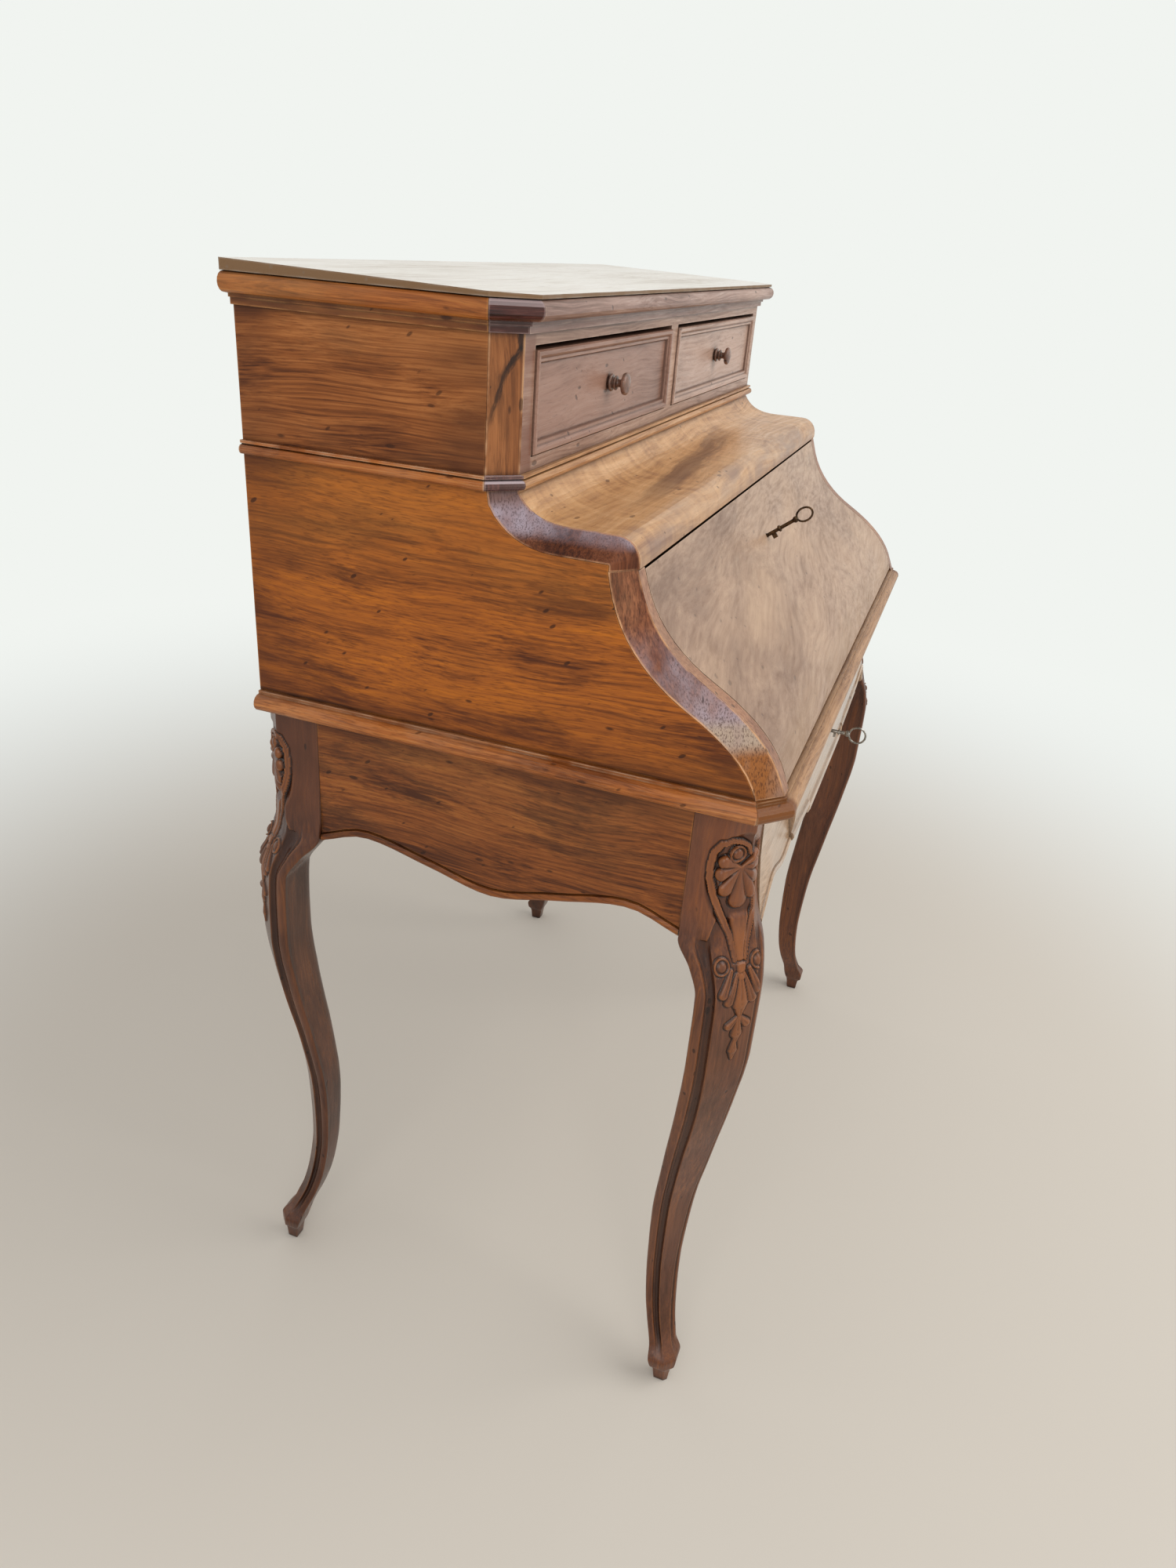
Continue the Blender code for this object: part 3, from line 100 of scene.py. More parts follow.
# Leaves and husks: root, far end, half width at each, and how far handling has rubbed them bright.
LEAVES = (
    ((-6.0, 583.0), (-16.5, 557.0), 2.2, 5.0, 0.2),
    ((14.0, 583.0), (24.5, 557.0), 2.2, 5.0, 0.2),
    ((0.0, 579.0), (-9.5, 548.0), 1.6, 5.0, 0.4),
    ((8.0, 579.0), (18.5, 548.0), 1.6, 5.0, 0.4),
    ((4.0, 577.0), (5.2, 541.0), 2.4, 8.2, 0.9),
    ((5.6, 530.0), (5.2, 556.5), 0.5, 8.0, 0.9),
    ((4.2, 534.0), (-7.5, 521.0), 1.4, 4.6, 0.3),
    ((6.0, 534.0), (17.5, 521.0), 1.4, 4.6, 0.3),
    ((5.0, 533.0), (5.6, 508.0), 2.2, 6.0, 0.7),
    ((5.8, 501.0), (5.6, 520.0), 0.5, 5.8, 0.7),
    ((4.6, 507.0), (4.2, 489.0), 1.6, 5.0, 0.5),
    ((4.3, 482.0), (4.2, 498.5), 0.5, 4.8, 0.5),
)
# Sunk field of the knee: middle, half width and half height, and its depth.
SUNK_FIELD = (5.0, 672.0, 36.0, 50.0)
SUNK_DEPTH = 1.8
STEM_HEIGHT = 2.2
NOTCH_DEPTH = 2.4
# Shares of the full height at the root of a lobe and of a leaf, and in the hollow of a ribbon.
LOBE_ROOT = 0.60
LEAF_ROOT = 0.55
RIBBON_HOLLOW = 0.40
# Veins of lobes and leaves: depth, and width as a share of the half width.
LOBE_VEIN = (0.15, 0.16)
LEAF_VEIN = (0.9, 0.15)
# Eyes of scrolls and curls: the boss's share of the radius, the rim's height, place and width as shares,
# and how far the whole is sunk.
EYE_BOSS = 0.62
EYE_RIM = (0.8, 0.88, 0.12)
EYE_SUNK = 0.6
# How far handling has rubbed the shell and the ribbons bright.
SHELL_RUBBED = 0.40
RIBBON_RUBBED = 0.35
# The carver's outline cut: depth, distance from the carving and width.
OUTLINE_CUT = (1.2, 0.8, 0.75)
# Start values, far below any carving and far away from it.
FAR_BELOW = -9.0
FAR_AWAY = 99.0
# Tongue that ends the block on the side face: its two ends, and the cut beneath it.
TONGUE = ((-14.8, 638.0), (-28.3, 613.0))
TONGUE_CUT = 2.0

# Edge moulding of a leg: the share of its side face that the bead takes, the quirk's depth and width,
# and the heights between which the moulding fades in below the block and out above the foot.
EDGE_BEAD_SHARE = 0.52
QUIRK_DEPTH = 1.3 * MM
QUIRK_WIDTH = 0.035
MOULDING_STARTS = (0.624, 0.598)
FOOT_ENDS_MOULDING = (0.036, 0.062)
BLOCK_ENDS = (0.632, 0.604)
# Points on the five faces of a leg's section, heights of its rings and how the ring is eased.
RING_STEPS = (8, 34, 54, 34, 8)
CARVED_FROM = 0.470
CARVED_STEP = 0.9 * MM
PLAIN_STEP = 4.0 * MM
FOOT_BELOW = 0.060
FOOT_STEP = 2.0 * MM
RING_EASINGS = 2
CREASE_EASINGS = 4
# Share of the relief that is let run up or down where the skin slopes.
SLOPE_SHARE = 0.5
# How far inside a leg's two ends its end sections are read, and when a point counts as on a level.
LEVEL_INSET = 2e-5
ON_LEVEL = 1e-6

# Lock screws: inset from the plate's rim, facets, the head's top and slot as shares of its radius.
SCREW_INSET = 5.0 * MM
SCREW_SIDES = 20
SCREW_TOP = 0.78
SCREW_SLOT = (3.0, 0.24)
SCREW_TURN = (0.0, 0.0, 3.1)
SCREW_SEED = 7
# A plate's inner face looks backwards at least this far.
BACKWARD = 0.2

FILLET_GAP = 0.2 * MM

KNOB_RINGS = 61
# Outline of the turned knob: share of its reach, share of its widest radius.
KNOB_OUTLINE = (
    (0.000, 0.62), (0.060, 0.74), (0.120, 0.80), (0.190, 0.72), (0.215, 0.50),
    (0.260, 0.46), (0.300, 0.62), (0.350, 0.66), (0.395, 0.58), (0.420, 0.40),
    (0.520, 0.35), (0.620, 0.44), (0.680, 0.74), (0.720, 0.95), (0.790, 1.00),
    (0.860, 0.98), (0.915, 0.86), (0.940, 0.72), (0.970, 0.50), (1.000, 0.16),
)

# Turns of the grain in degrees, for boards that run along each axis.
ALONG_X = (0.0, 0.0, 0.0)
ALONG_Y = (0.0, 0.0, 90.0)
ALONG_Z = (0.0, -90.0, 0.0)
# Sway of the grain: its size in metres, the first along the grain.
SWAY_SIZE = (0.30, 0.12, 0.12)
# Layers in the wood: whether each sways with the grain, length and width in metres, detail, roughness
# and distortion.
WOOD_LAYERS = {
    # Ragged dark smears, gathered in clusters a hand wide.
    "clusters": (True, (0.13, 0.042), 3.0, 0.6, 0.0),
    "smears": (True, (0.055, 0.0042), 6.0, 0.72, 0.0),
    # Pores are a few tenths of a millimetre wide; they are drawn about 1.3 mm wide so that they show.
    "pores": (True, (0.013, 0.0013), 2.0, 0.6, 0.0),
    # Clouds where light and hands have faded the wood.
    "clouds": (False, (0.22, 0.09), 5.0, 0.6, 0.0),
}
# Curl across the grain, a wave about every 14 mm.
CURL_LAYER = (True, (0.014, 0.075), 2.0, 0.5, 0.6)
# Half the run of noise values that takes the wood from its deep to its light tone.
TONE_SPREAD = 0.16
# Knocks a few millimetres long, one lot along the grain and one across it at a slant: turn and cell.
KNOCK_LOTS = (((0.0, 0.0, 0.0), (0.034, 0.013, 0.013)), ((24.0, 31.0, 27.0), (0.046, 0.011, 0.011)))
# Dark quirks round a sunk field, old wax and painted shade: distance out from it, half width and how far each
# covers.
FIELD_QUIRKS = ((0.0003, 0.0013, 0.95), (0.0044, 0.0010, 0.80))
# Edges: how far round they are rubbed, and rubbed patches in a metre.
RUBBED_EDGE = 2.6 * MM
RUB_PATCHES = 45.0
# How far the painted shade reaches out of a corner.
SHADE_REACH = 10.0 * MM
# Shares of the deep tone: painted shade in the carver's cuts, and painted shade in crevices along with real
# knocks.
CUT_SHADE_TONE = 0.6
SHADE_AND_KNOCK_TONE = 0.35
# Raised grain, and pits in old metal.
GRAIN_DEPTH = 0.4 * MM
PIT_SIZE = 1.1 * MM
PIT_DEPTH = 0.2 * MM

# Lamps: place, the point that each looks at, and size.
KEY_LAMP = ((0.35, -2.30, 2.60), (0.0, 0.0, 0.70), 2.4)
FILL_LAMP = ((-2.60, -0.60, 1.90), (0.0, 0.0, 0.60), 2.0)
SENSOR_WIDTH = 36.0
SIGHT_ENDS = 50.0
# Floor: radius, sides, how far it lies under the feet, and where it pales into the background.
FLOOR_RADIUS = 7.0
FLOOR_SIDES = 64
FLOOR_DROP = 0.5 * MM
FLOOR_PALES = (0.8, 2.6)
DAYLIGHT = "#fbfcff"


def linear(hex_colour):
    """Turns an sRGB hex colour into the linear values that Blender's sockets hold."""
    parts = [int(hex_colour[i:i + 2], 16) / 255 for i in (1, 3, 5)]
    return tuple(p / 12.92 if p <= 0.04045 else ((p + 0.055) / 1.055) ** 2.4 for p in parts)


def solid(colour):
    """A colour of three linear values with its full opacity."""
    return (*colour, 1.0)


def darker(hex_colour, share):
    """A share of a colour, in linear values."""
    return tuple(share * part for part in linear(hex_colour))


def add_node(tree, kind, links=None, **settings):
    """Adds a node, gives it its settings and constants, and links what it takes in.

    A node given as a link stands for its first output.
    """
    node = tree.nodes.new(kind)
    for name, value in settings.items():
        setattr(node, name, value)
    for key, value in (links or {}).items():
        if isinstance(value, bpy.types.Node):
            value = value.outputs[0]
        if isinstance(value, bpy.types.NodeSocket):
            tree.links.new(value, node.inputs[key])
        else:
            node.inputs[key].default_value = value
    return node


class DeskWoods(bpy.types.PropertyGroup):
    """Colours and wear of the woods and metals."""

    side_walnut: bpy.props.FloatVectorProperty(
        name="Side walnut", description="Body tone of the waxed walnut on the desk's two sides",
        subtype="COLOR", min=0, max=1, default=linear("#9b541b"))
    gradin_walnut: bpy.props.FloatVectorProperty(
        name="Upper case walnut", description="Body tone of the sides of the low upper case",
        subtype="COLOR", min=0, max=1, default=linear("#8a4e23"))
    # Partly painted: the rosy grey of the drawer fronts stands in for the bright sky's reflection.
    faded_walnut: bpy.props.FloatVectorProperty(
        name="Faded walnut and sheen", description="Body tone of the drawer fronts: sun-faded walnut and painted sheen",
        subtype="COLOR", min=0, max=1, default=linear("#906a58"))
    honey_walnut: bpy.props.FloatVectorProperty(
        name="Honey walnut", description="Body tone of the front mouldings and the cove shelf",
        subtype="COLOR", min=0, max=1, default=linear("#b88657"))
    fall_veneer: bpy.props.FloatVectorProperty(
        name="Fall", description="Body tone of the bleached, figured fall front",
        subtype="COLOR", min=0, max=1, default=linear("#a7866d"))
    stained_walnut: bpy.props.FloatVectorProperty(
        name="Stained walnut", description="Body tone of the dark canted strips and corner blocks",
        subtype="COLOR", min=0, max=1, default=linear("#623219"))
    leg_walnut: bpy.props.FloatVectorProperty(
        name="Leg walnut", description="Body tone of the dark carved legs",
        subtype="COLOR", min=0, max=1, default=linear("#5f3826"))
    bleached_top: bpy.props.FloatVectorProperty(
        name="Bleached top", description="Body tone of the bleached top board",
        subtype="COLOR", min=0, max=1, default=linear("#e7e1d6"))
    drawer_oak: bpy.props.FloatVectorProperty(
        name="Drawer oak", description="Body tone of the unpolished oak inside",
        subtype="COLOR", min=0, max=1, default=linear("#a5835b"))
    edge_wear: bpy.props.FloatProperty(
        name="Edge wear", description="How far the worn tone shows along the edges",
        subtype="FACTOR", min=0, max=1, default=0.55)
    # Painted shade: ambient occlusion darkens the quirks and joints.
    painted_crevice_shade: bpy.props.FloatProperty(
        name="Painted crevice shade", description="How dark the painted shade makes the quirks and joints",
        subtype="FACTOR", min=0, max=1, default=0.70)


class DeskCarving(bpy.types.PropertyGroup):
    """Depths of the carving and sizes of the small fittings."""

    scroll_height: bpy.props.FloatProperty(
        name="Scroll height", description="How far the scroll ribbon stands off the knee",
        unit="LENGTH", min=0, default=1.9 * MM)
    shell_height: bpy.props.FloatProperty(
        name="Shell height", description="How far the shell's lobes stand off the knee",
        unit="LENGTH", min=0, default=3.3 * MM)
    husk_height: bpy.props.FloatProperty(
        name="Husk height", description="How far the husks and curls stand off the knee",
        unit="LENGTH", min=0, default=3.2 * MM)
    hollow_depth: bpy.props.FloatProperty(
        name="Hollow depth", description="Depth of the hollow beside the leg's edge bead",
        unit="LENGTH", min=0, default=3.2 * MM)
    bead_height: bpy.props.FloatProperty(
        name="Bead height", description="How far the leg's edge bead stands up",
        unit="LENGTH", min=0, default=2.4 * MM)
    knob_sides: bpy.props.IntProperty(
        name="Knob sides", description="Facets round a turned knob", min=12, default=48)
    screw_radius: bpy.props.FloatProperty(
        name="Screw radius", description="Radius of a lock screw's head",
        unit="LENGTH", min=0, default=2.6 * MM)
    screw_proud: bpy.props.FloatProperty(
        name="Screw proud", description="How far a lock screw's head stands off its plate",
        unit="LENGTH", min=0, default=0.7 * MM)


class DeskStage(bpy.types.PropertyGroup):
    """Camera, lamps and floor."""

    camera_place: bpy.props.FloatVectorProperty(
        name="Camera place", description="Where the camera stands", subtype="TRANSLATION",
        default=(-1.22251, -0.35026, 1.17342))
    camera_aim: bpy.props.FloatVectorProperty(
        name="Camera aim", description="Point that the camera looks at", subtype="TRANSLATION",
        default=(0.04800, 0.07003, 0.49582))
    camera_roll: bpy.props.FloatProperty(
        name="Camera roll", description="Turn of the camera about its own axis",
        subtype="ANGLE", default=math.radians(4.63))
    camera_lens: bpy.props.FloatProperty(
        name="Camera lens", description="Focal length in millimetres on a 36 mm long side",
        default=24.72)
    ambient: bpy.props.FloatProperty(
        name="Ambient", description="Strength of the even light from all round", min=0, default=0.68)
    key_power: bpy.props.FloatProperty(
        name="Key power", description="Power of the large soft lamp above the front",
        unit="POWER", min=0, default=42.0)
    fill_power: bpy.props.FloatProperty(
        name="Fill power", description="Power of the soft lamp on the camera's side",
        unit="POWER", min=0, default=22.0)
    floor_tone: bpy.props.FloatVectorProperty(
        name="Floor", description="Tone of the floor round the desk",
        subtype="COLOR", min=0, max=1, default=linear("#d3cbbe"))
    backdrop_tone: bpy.props.FloatVectorProperty(
        name="Backdrop", description="Tone of the floor's far end and the background",
        subtype="COLOR", min=0, max=1, default=linear("#f1f4f0"))


class DeskLooks(bpy.types.PropertyGroup):
    """All settings of the desk's looks."""

    woods: bpy.props.PointerProperty(type=DeskWoods)
    carving: bpy.props.PointerProperty(type=DeskCarving)
    stage: bpy.props.PointerProperty(type=DeskStage)


def open_material(name):
    """A material with an empty node tree, that tree, and the place on the piece that patterns follow."""
    material = bpy.data.materials.new(name)
    material.use_nodes = True
    tree = material.node_tree
    tree.nodes.clear()
    return material, tree, add_node(tree, "ShaderNodeTexCoord").outputs["Object"]


def swayed_place(tree, place, lie, sway):
    """The place on a board, shifted so that its grain sways over about two hands' width."""
    swell = add_node(tree, "ShaderNodeMapping", {
        **lie, "Vector": place, "Scale": SWAY_SIZE}, vector_type="TEXTURE")
    sways = add_node(tree, "ShaderNodeTexNoise", {"Vector": swell, "Scale": 1.0, "Detail": 2.0})
    centred = add_node(tree, "ShaderNodeVectorMath", {
        0: sways.outputs["Color"], 1: (0.5, 0.5, 0.5)}, operation="SUBTRACT")
    bend = add_node(tree, "ShaderNodeVectorMath", {0: centred, "Scale": sway * 4}, operation="SCALE")
    return add_node(tree, "ShaderNodeVectorMath", {0: place, 1: bend}, operation="ADD")


def wood_noises(tree, place, swayed, lie, layers):
    """One noise for each layer in the wood, stretched along the grain."""
    noises = {}
    for label, (follows, (long, wide), detail, coarse, warp) in layers.items():
        way = add_node(tree, "ShaderNodeMapping", {
            **lie, "Vector": swayed if follows else place, "Scale": (long, wide, wide)},
            vector_type="TEXTURE")
        noises[label] = add_node(tree, "ShaderNodeTexNoise", {
            "Vector": way, "Scale": 1.0, "Detail": detail, "Roughness": coarse,
            "Distortion": warp}).outputs["Fac"]
    return noises


def bare_tones(tree, noises, ripple, contrast, deep, body, light):
    """Tones of the bare wood: broad bands of heartwood, fine streaks inside them and any curl."""
    grained = add_node(tree, "ShaderNodeMix", {0: 0.55, 2: noises["bands"], 3: noises["fines"]})
    if ripple:
        grained = add_node(tree, "ShaderNodeMix", {0: ripple, 2: grained, 3: noises["curls"]})
    spread = TONE_SPREAD / contrast
    tones = add_node(tree, "ShaderNodeValToRGB", {"Fac": grained})
    ramp = tones.color_ramp
    ramp.elements[0].position = max(0.5 - spread, 0.02)
    ramp.elements[0].color = solid(linear(deep))
    ramp.elements[1].position = min(0.5 + spread, 0.98)
    ramp.elements[1].color = solid(linear(light))
    ramp.elements.new(0.5).color = solid(body)
    return tones.outputs["Color"]


# What lies over the bare wood is kept as coats: how far each covers, its tone and how it is laid on.
def zone_coats(tree, axes, clusters, zones):
    """Zones of another tone, such as borders browned by old wax.

    A zone is an axis, where it starts, where it is full, how far it covers and its tone.
    """
    coats = []
    for axis, start, stop, share, tone in zones:
        near = add_node(tree, "ShaderNodeMapRange", {
            "Value": axes[axis], "From Min": start, "From Max": stop}, interpolation_type="SMOOTHSTEP")
        uneven = add_node(tree, "ShaderNodeMapRange", {
            "Value": clusters, "From Min": 0.30, "From Max": 0.62, "To Max": share})
        mask = add_node(tree, "ShaderNodeMath", {0: near, 1: uneven}, operation="MULTIPLY")
        coats.append((mask, linear(tone), "MIX"))
    return coats


def vein_coats(tree, swayed, veins):
    """Single dark veins with ragged rims.

    A vein is its place, how it lies, half its length and width, its tone and how far it covers.
    """
    coats = []
    for spot, turn, long, half, tone, share in veins:
        way = add_node(tree, "ShaderNodeMapping", {
            "Vector": swayed, "Location": spot, "Rotation": tuple(math.radians(a) for a in turn),
            "Scale": (long, half, half)}, vector_type="TEXTURE")
        axes = add_node(tree, "ShaderNodeSeparateXYZ", {0: way}).outputs
        ragged = add_node(tree, "ShaderNodeTexNoise", {
            "Vector": way, "Scale": 1.3, "Detail": 5.0, "Roughness": 0.65})
        off = add_node(tree, "ShaderNodeMath", {0: axes["Y"]}, operation="ABSOLUTE")
        shift = add_node(tree, "ShaderNodeMath", {
            0: ragged.outputs["Fac"], 1: 3.4, 2: -1.7}, operation="MULTIPLY_ADD")
        rim = add_node(tree, "ShaderNodeMath", {0: off, 1: shift}, operation="ADD")
        broad = add_node(tree, "ShaderNodeMapRange", {
            "Value": rim, "From Min": 0.10, "From Max": 1.05, "To Min": share, "To Max": 0.0},
            interpolation_type="SMOOTHSTEP")
        along = add_node(tree, "ShaderNodeMath", {0: axes["X"]}, operation="ABSOLUTE")
        tapered = add_node(tree, "ShaderNodeMapRange", {
            "Value": along, "From Min": 0.6, "From Max": 1.4, "To Min": 1.0, "To Max": 0.0})
        mask = add_node(tree, "ShaderNodeMath", {0: broad, 1: tapered}, operation="MULTIPLY")
        coats.append((mask, linear(tone), "MIX"))
    return coats


def quirk_coats(tree, axes, field, deep):
    """Dark lines in the quirks of a moulding round a sunk field, given by its middle and half sizes: old wax
    and painted shade.
    """
    outs = []
    for axis, middle, half in zip("XZ", field[:2], field[2:]):
        off = add_node(tree, "ShaderNodeMath", {0: axes[axis], 1: middle}, operation="SUBTRACT")
        away = add_node(tree, "ShaderNodeMath", {0: off}, operation="ABSOLUTE")
        outs.append(add_node(tree, "ShaderNodeMath", {0: away, 1: half}, operation="SUBTRACT"))
    rim = add_node(tree, "ShaderNodeMath", {0: outs[0], 1: outs[1]}, operation="MAXIMUM")
    coats = []
    for at, half, share in FIELD_QUIRKS:
        off = add_node(tree, "ShaderNodeMath", {0: rim, 1: at}, operation="SUBTRACT")
        away = add_node(tree, "ShaderNodeMath", {0: off}, operation="ABSOLUTE")
        mask = add_node(tree, "ShaderNodeMapRange", {
            "Value": away, "From Min": 0.4 * half, "From Max": half, "To Min": share, "To Max": 0.0})
        coats.append((mask, linear(deep), "MIX"))
    return coats


def facing_coats(tree, flat, bloom, edge, inner):
    """Tones that depend on where a surface looks."""
    coats = []
    # A painted sheen: a pale tone where the surface looks up, standing in for the reflection of the bright
    # sky.
    if bloom:
        tone, share = bloom
        upward = add_node(tree, "ShaderNodeSeparateXYZ", {0: flat}).outputs["Z"]
        mask = add_node(tree, "ShaderNodeMapRange", {
            "Value": upward, "From Min": 0.30, "From Max": 0.85, "To Max": share})
        coats.append((mask, linear(tone), "MIX"))
    # Upright edges of a board whose top alone is bleached.
    if edge:
        upward = add_node(tree, "ShaderNodeSeparateXYZ", {0: flat}).outputs["Z"]
        mask = add_node(tree, "ShaderNodeMapRange", {"Value": upward, "From Min": 0.9, "From Max": 0.6})
        coats.append((mask, linear(edge), "MIX"))
    # The face that looks back into the desk was never bleached, so it is tinted with a deeper tone.
    if inner:
        own_way = add_node(tree, "ShaderNodeTexCoord").outputs["Normal"]
        backward = add_node(tree, "ShaderNodeSeparateXYZ", {0: own_way}).outputs["Y"]
        mask = add_node(tree, "ShaderNodeMapRange", {"Value": backward, "From Min": 0.2, "From Max": 0.5})
        coats.append((mask, linear(inner), "MULTIPLY"))
    return coats


def rubbed_coat(tree, place, flat, share, worn):
    """Edges rubbed pale, in patches."""
    rounded = add_node(tree, "ShaderNodeBevel", {"Radius": RUBBED_EDGE}, samples=6)
    along = add_node(tree, "ShaderNodeVectorMath", {
        0: rounded, 1: flat}, operation="DOT_PRODUCT").outputs["Value"]
    patches = add_node(tree, "ShaderNodeTexNoise", {"Vector": place, "Scale": RUB_PATCHES, "Detail": 3.0})
    rubbed = add_node(tree, "ShaderNodeMapRange", {
        "Value": along, "From Min": 0.985, "From Max": 0.86, "To Max": share})
    patchy = add_node(tree, "ShaderNodeMapRange", {
        "Value": patches.outputs["Fac"], "From Min": 0.36, "From Max": 0.60})
    mask = add_node(tree, "ShaderNodeMath", {0: rubbed, 1: patchy}, operation="MULTIPLY")
    return mask, linear(worn), "MIX"


def carving_coats(tree, deep, light):
    """On the legs the carving's own height and creases set pale tops, from rubbing and a painted highlight,
    and dark cuts and sunk grounds, from painted shade.
    """
    height, crease, handled = (
        add_node(tree, "ShaderNodeAttribute", attribute_name=label).outputs["Fac"]
        for label in ("carving", "crease", "rubbed"))
    # Convex crests: painted highlight, joined with the rubbing kept on the carving.
    crests = add_node(tree, "ShaderNodeMapRange", {
        "Value": crease, "From Min": -0.10, "From Max": -0.75, "To Max": 0.65})
    polish = add_node(tree, "ShaderNodeMath", {0: handled, 1: 0.62}, operation="MULTIPLY")
    tops = add_node(tree, "ShaderNodeMath", {0: crests, 1: polish}, operation="MAXIMUM")
    # Creases and sunk grounds: painted shade.
    cuts = add_node(tree, "ShaderNodeMapRange", {
        "Value": crease, "From Min": 0.10, "From Max": 0.80, "To Max": 0.80})
    grounds = add_node(tree, "ShaderNodeMapRange", {
        "Value": height, "From Min": -0.4, "From Max": -2.0, "To Max": 0.55})
    return [
        (tops, linear(light), "MIX"),
        (cuts, darker(deep, CUT_SHADE_TONE), "MIX"),
        (grounds, linear(deep), "MIX")]


def knock_marks(tree, place, grain, centre, knocks):
    """Knocks: each cell of a lot has a chance of one, and its own size."""
    dents = []
    for lie, cell in KNOCK_LOTS:
        slant = tuple(math.radians(a + b) for a, b in zip(grain, lie))
        way = add_node(tree, "ShaderNodeMapping", {
            "Location": centre, "Rotation": slant, "Vector": place, "Scale": cell}, vector_type="TEXTURE")
        cells = add_node(tree, "ShaderNodeTexVoronoi", {"Vector": way, "Scale": 1.0})
        lot = add_node(tree, "ShaderNodeSeparateXYZ", {0: cells.outputs["Color"]})
        size = add_node(tree, "ShaderNodeMath", {
            0: lot.outputs["X"], 1: 0.34, 2: -0.15}, operation="MULTIPLY_ADD")
        depth = add_node(tree, "ShaderNodeMath", {
            0: size, 1: cells.outputs["Distance"]}, operation="SUBTRACT")
        dents.append(add_node(tree, "ShaderNodeMapRange", {
            "Value": depth, "From Min": 0.0, "From Max": 0.06, "To Max": knocks}))
    return add_node(tree, "ShaderNodeMath", {0: dents[0], 1: dents[1]}, operation="MAXIMUM")


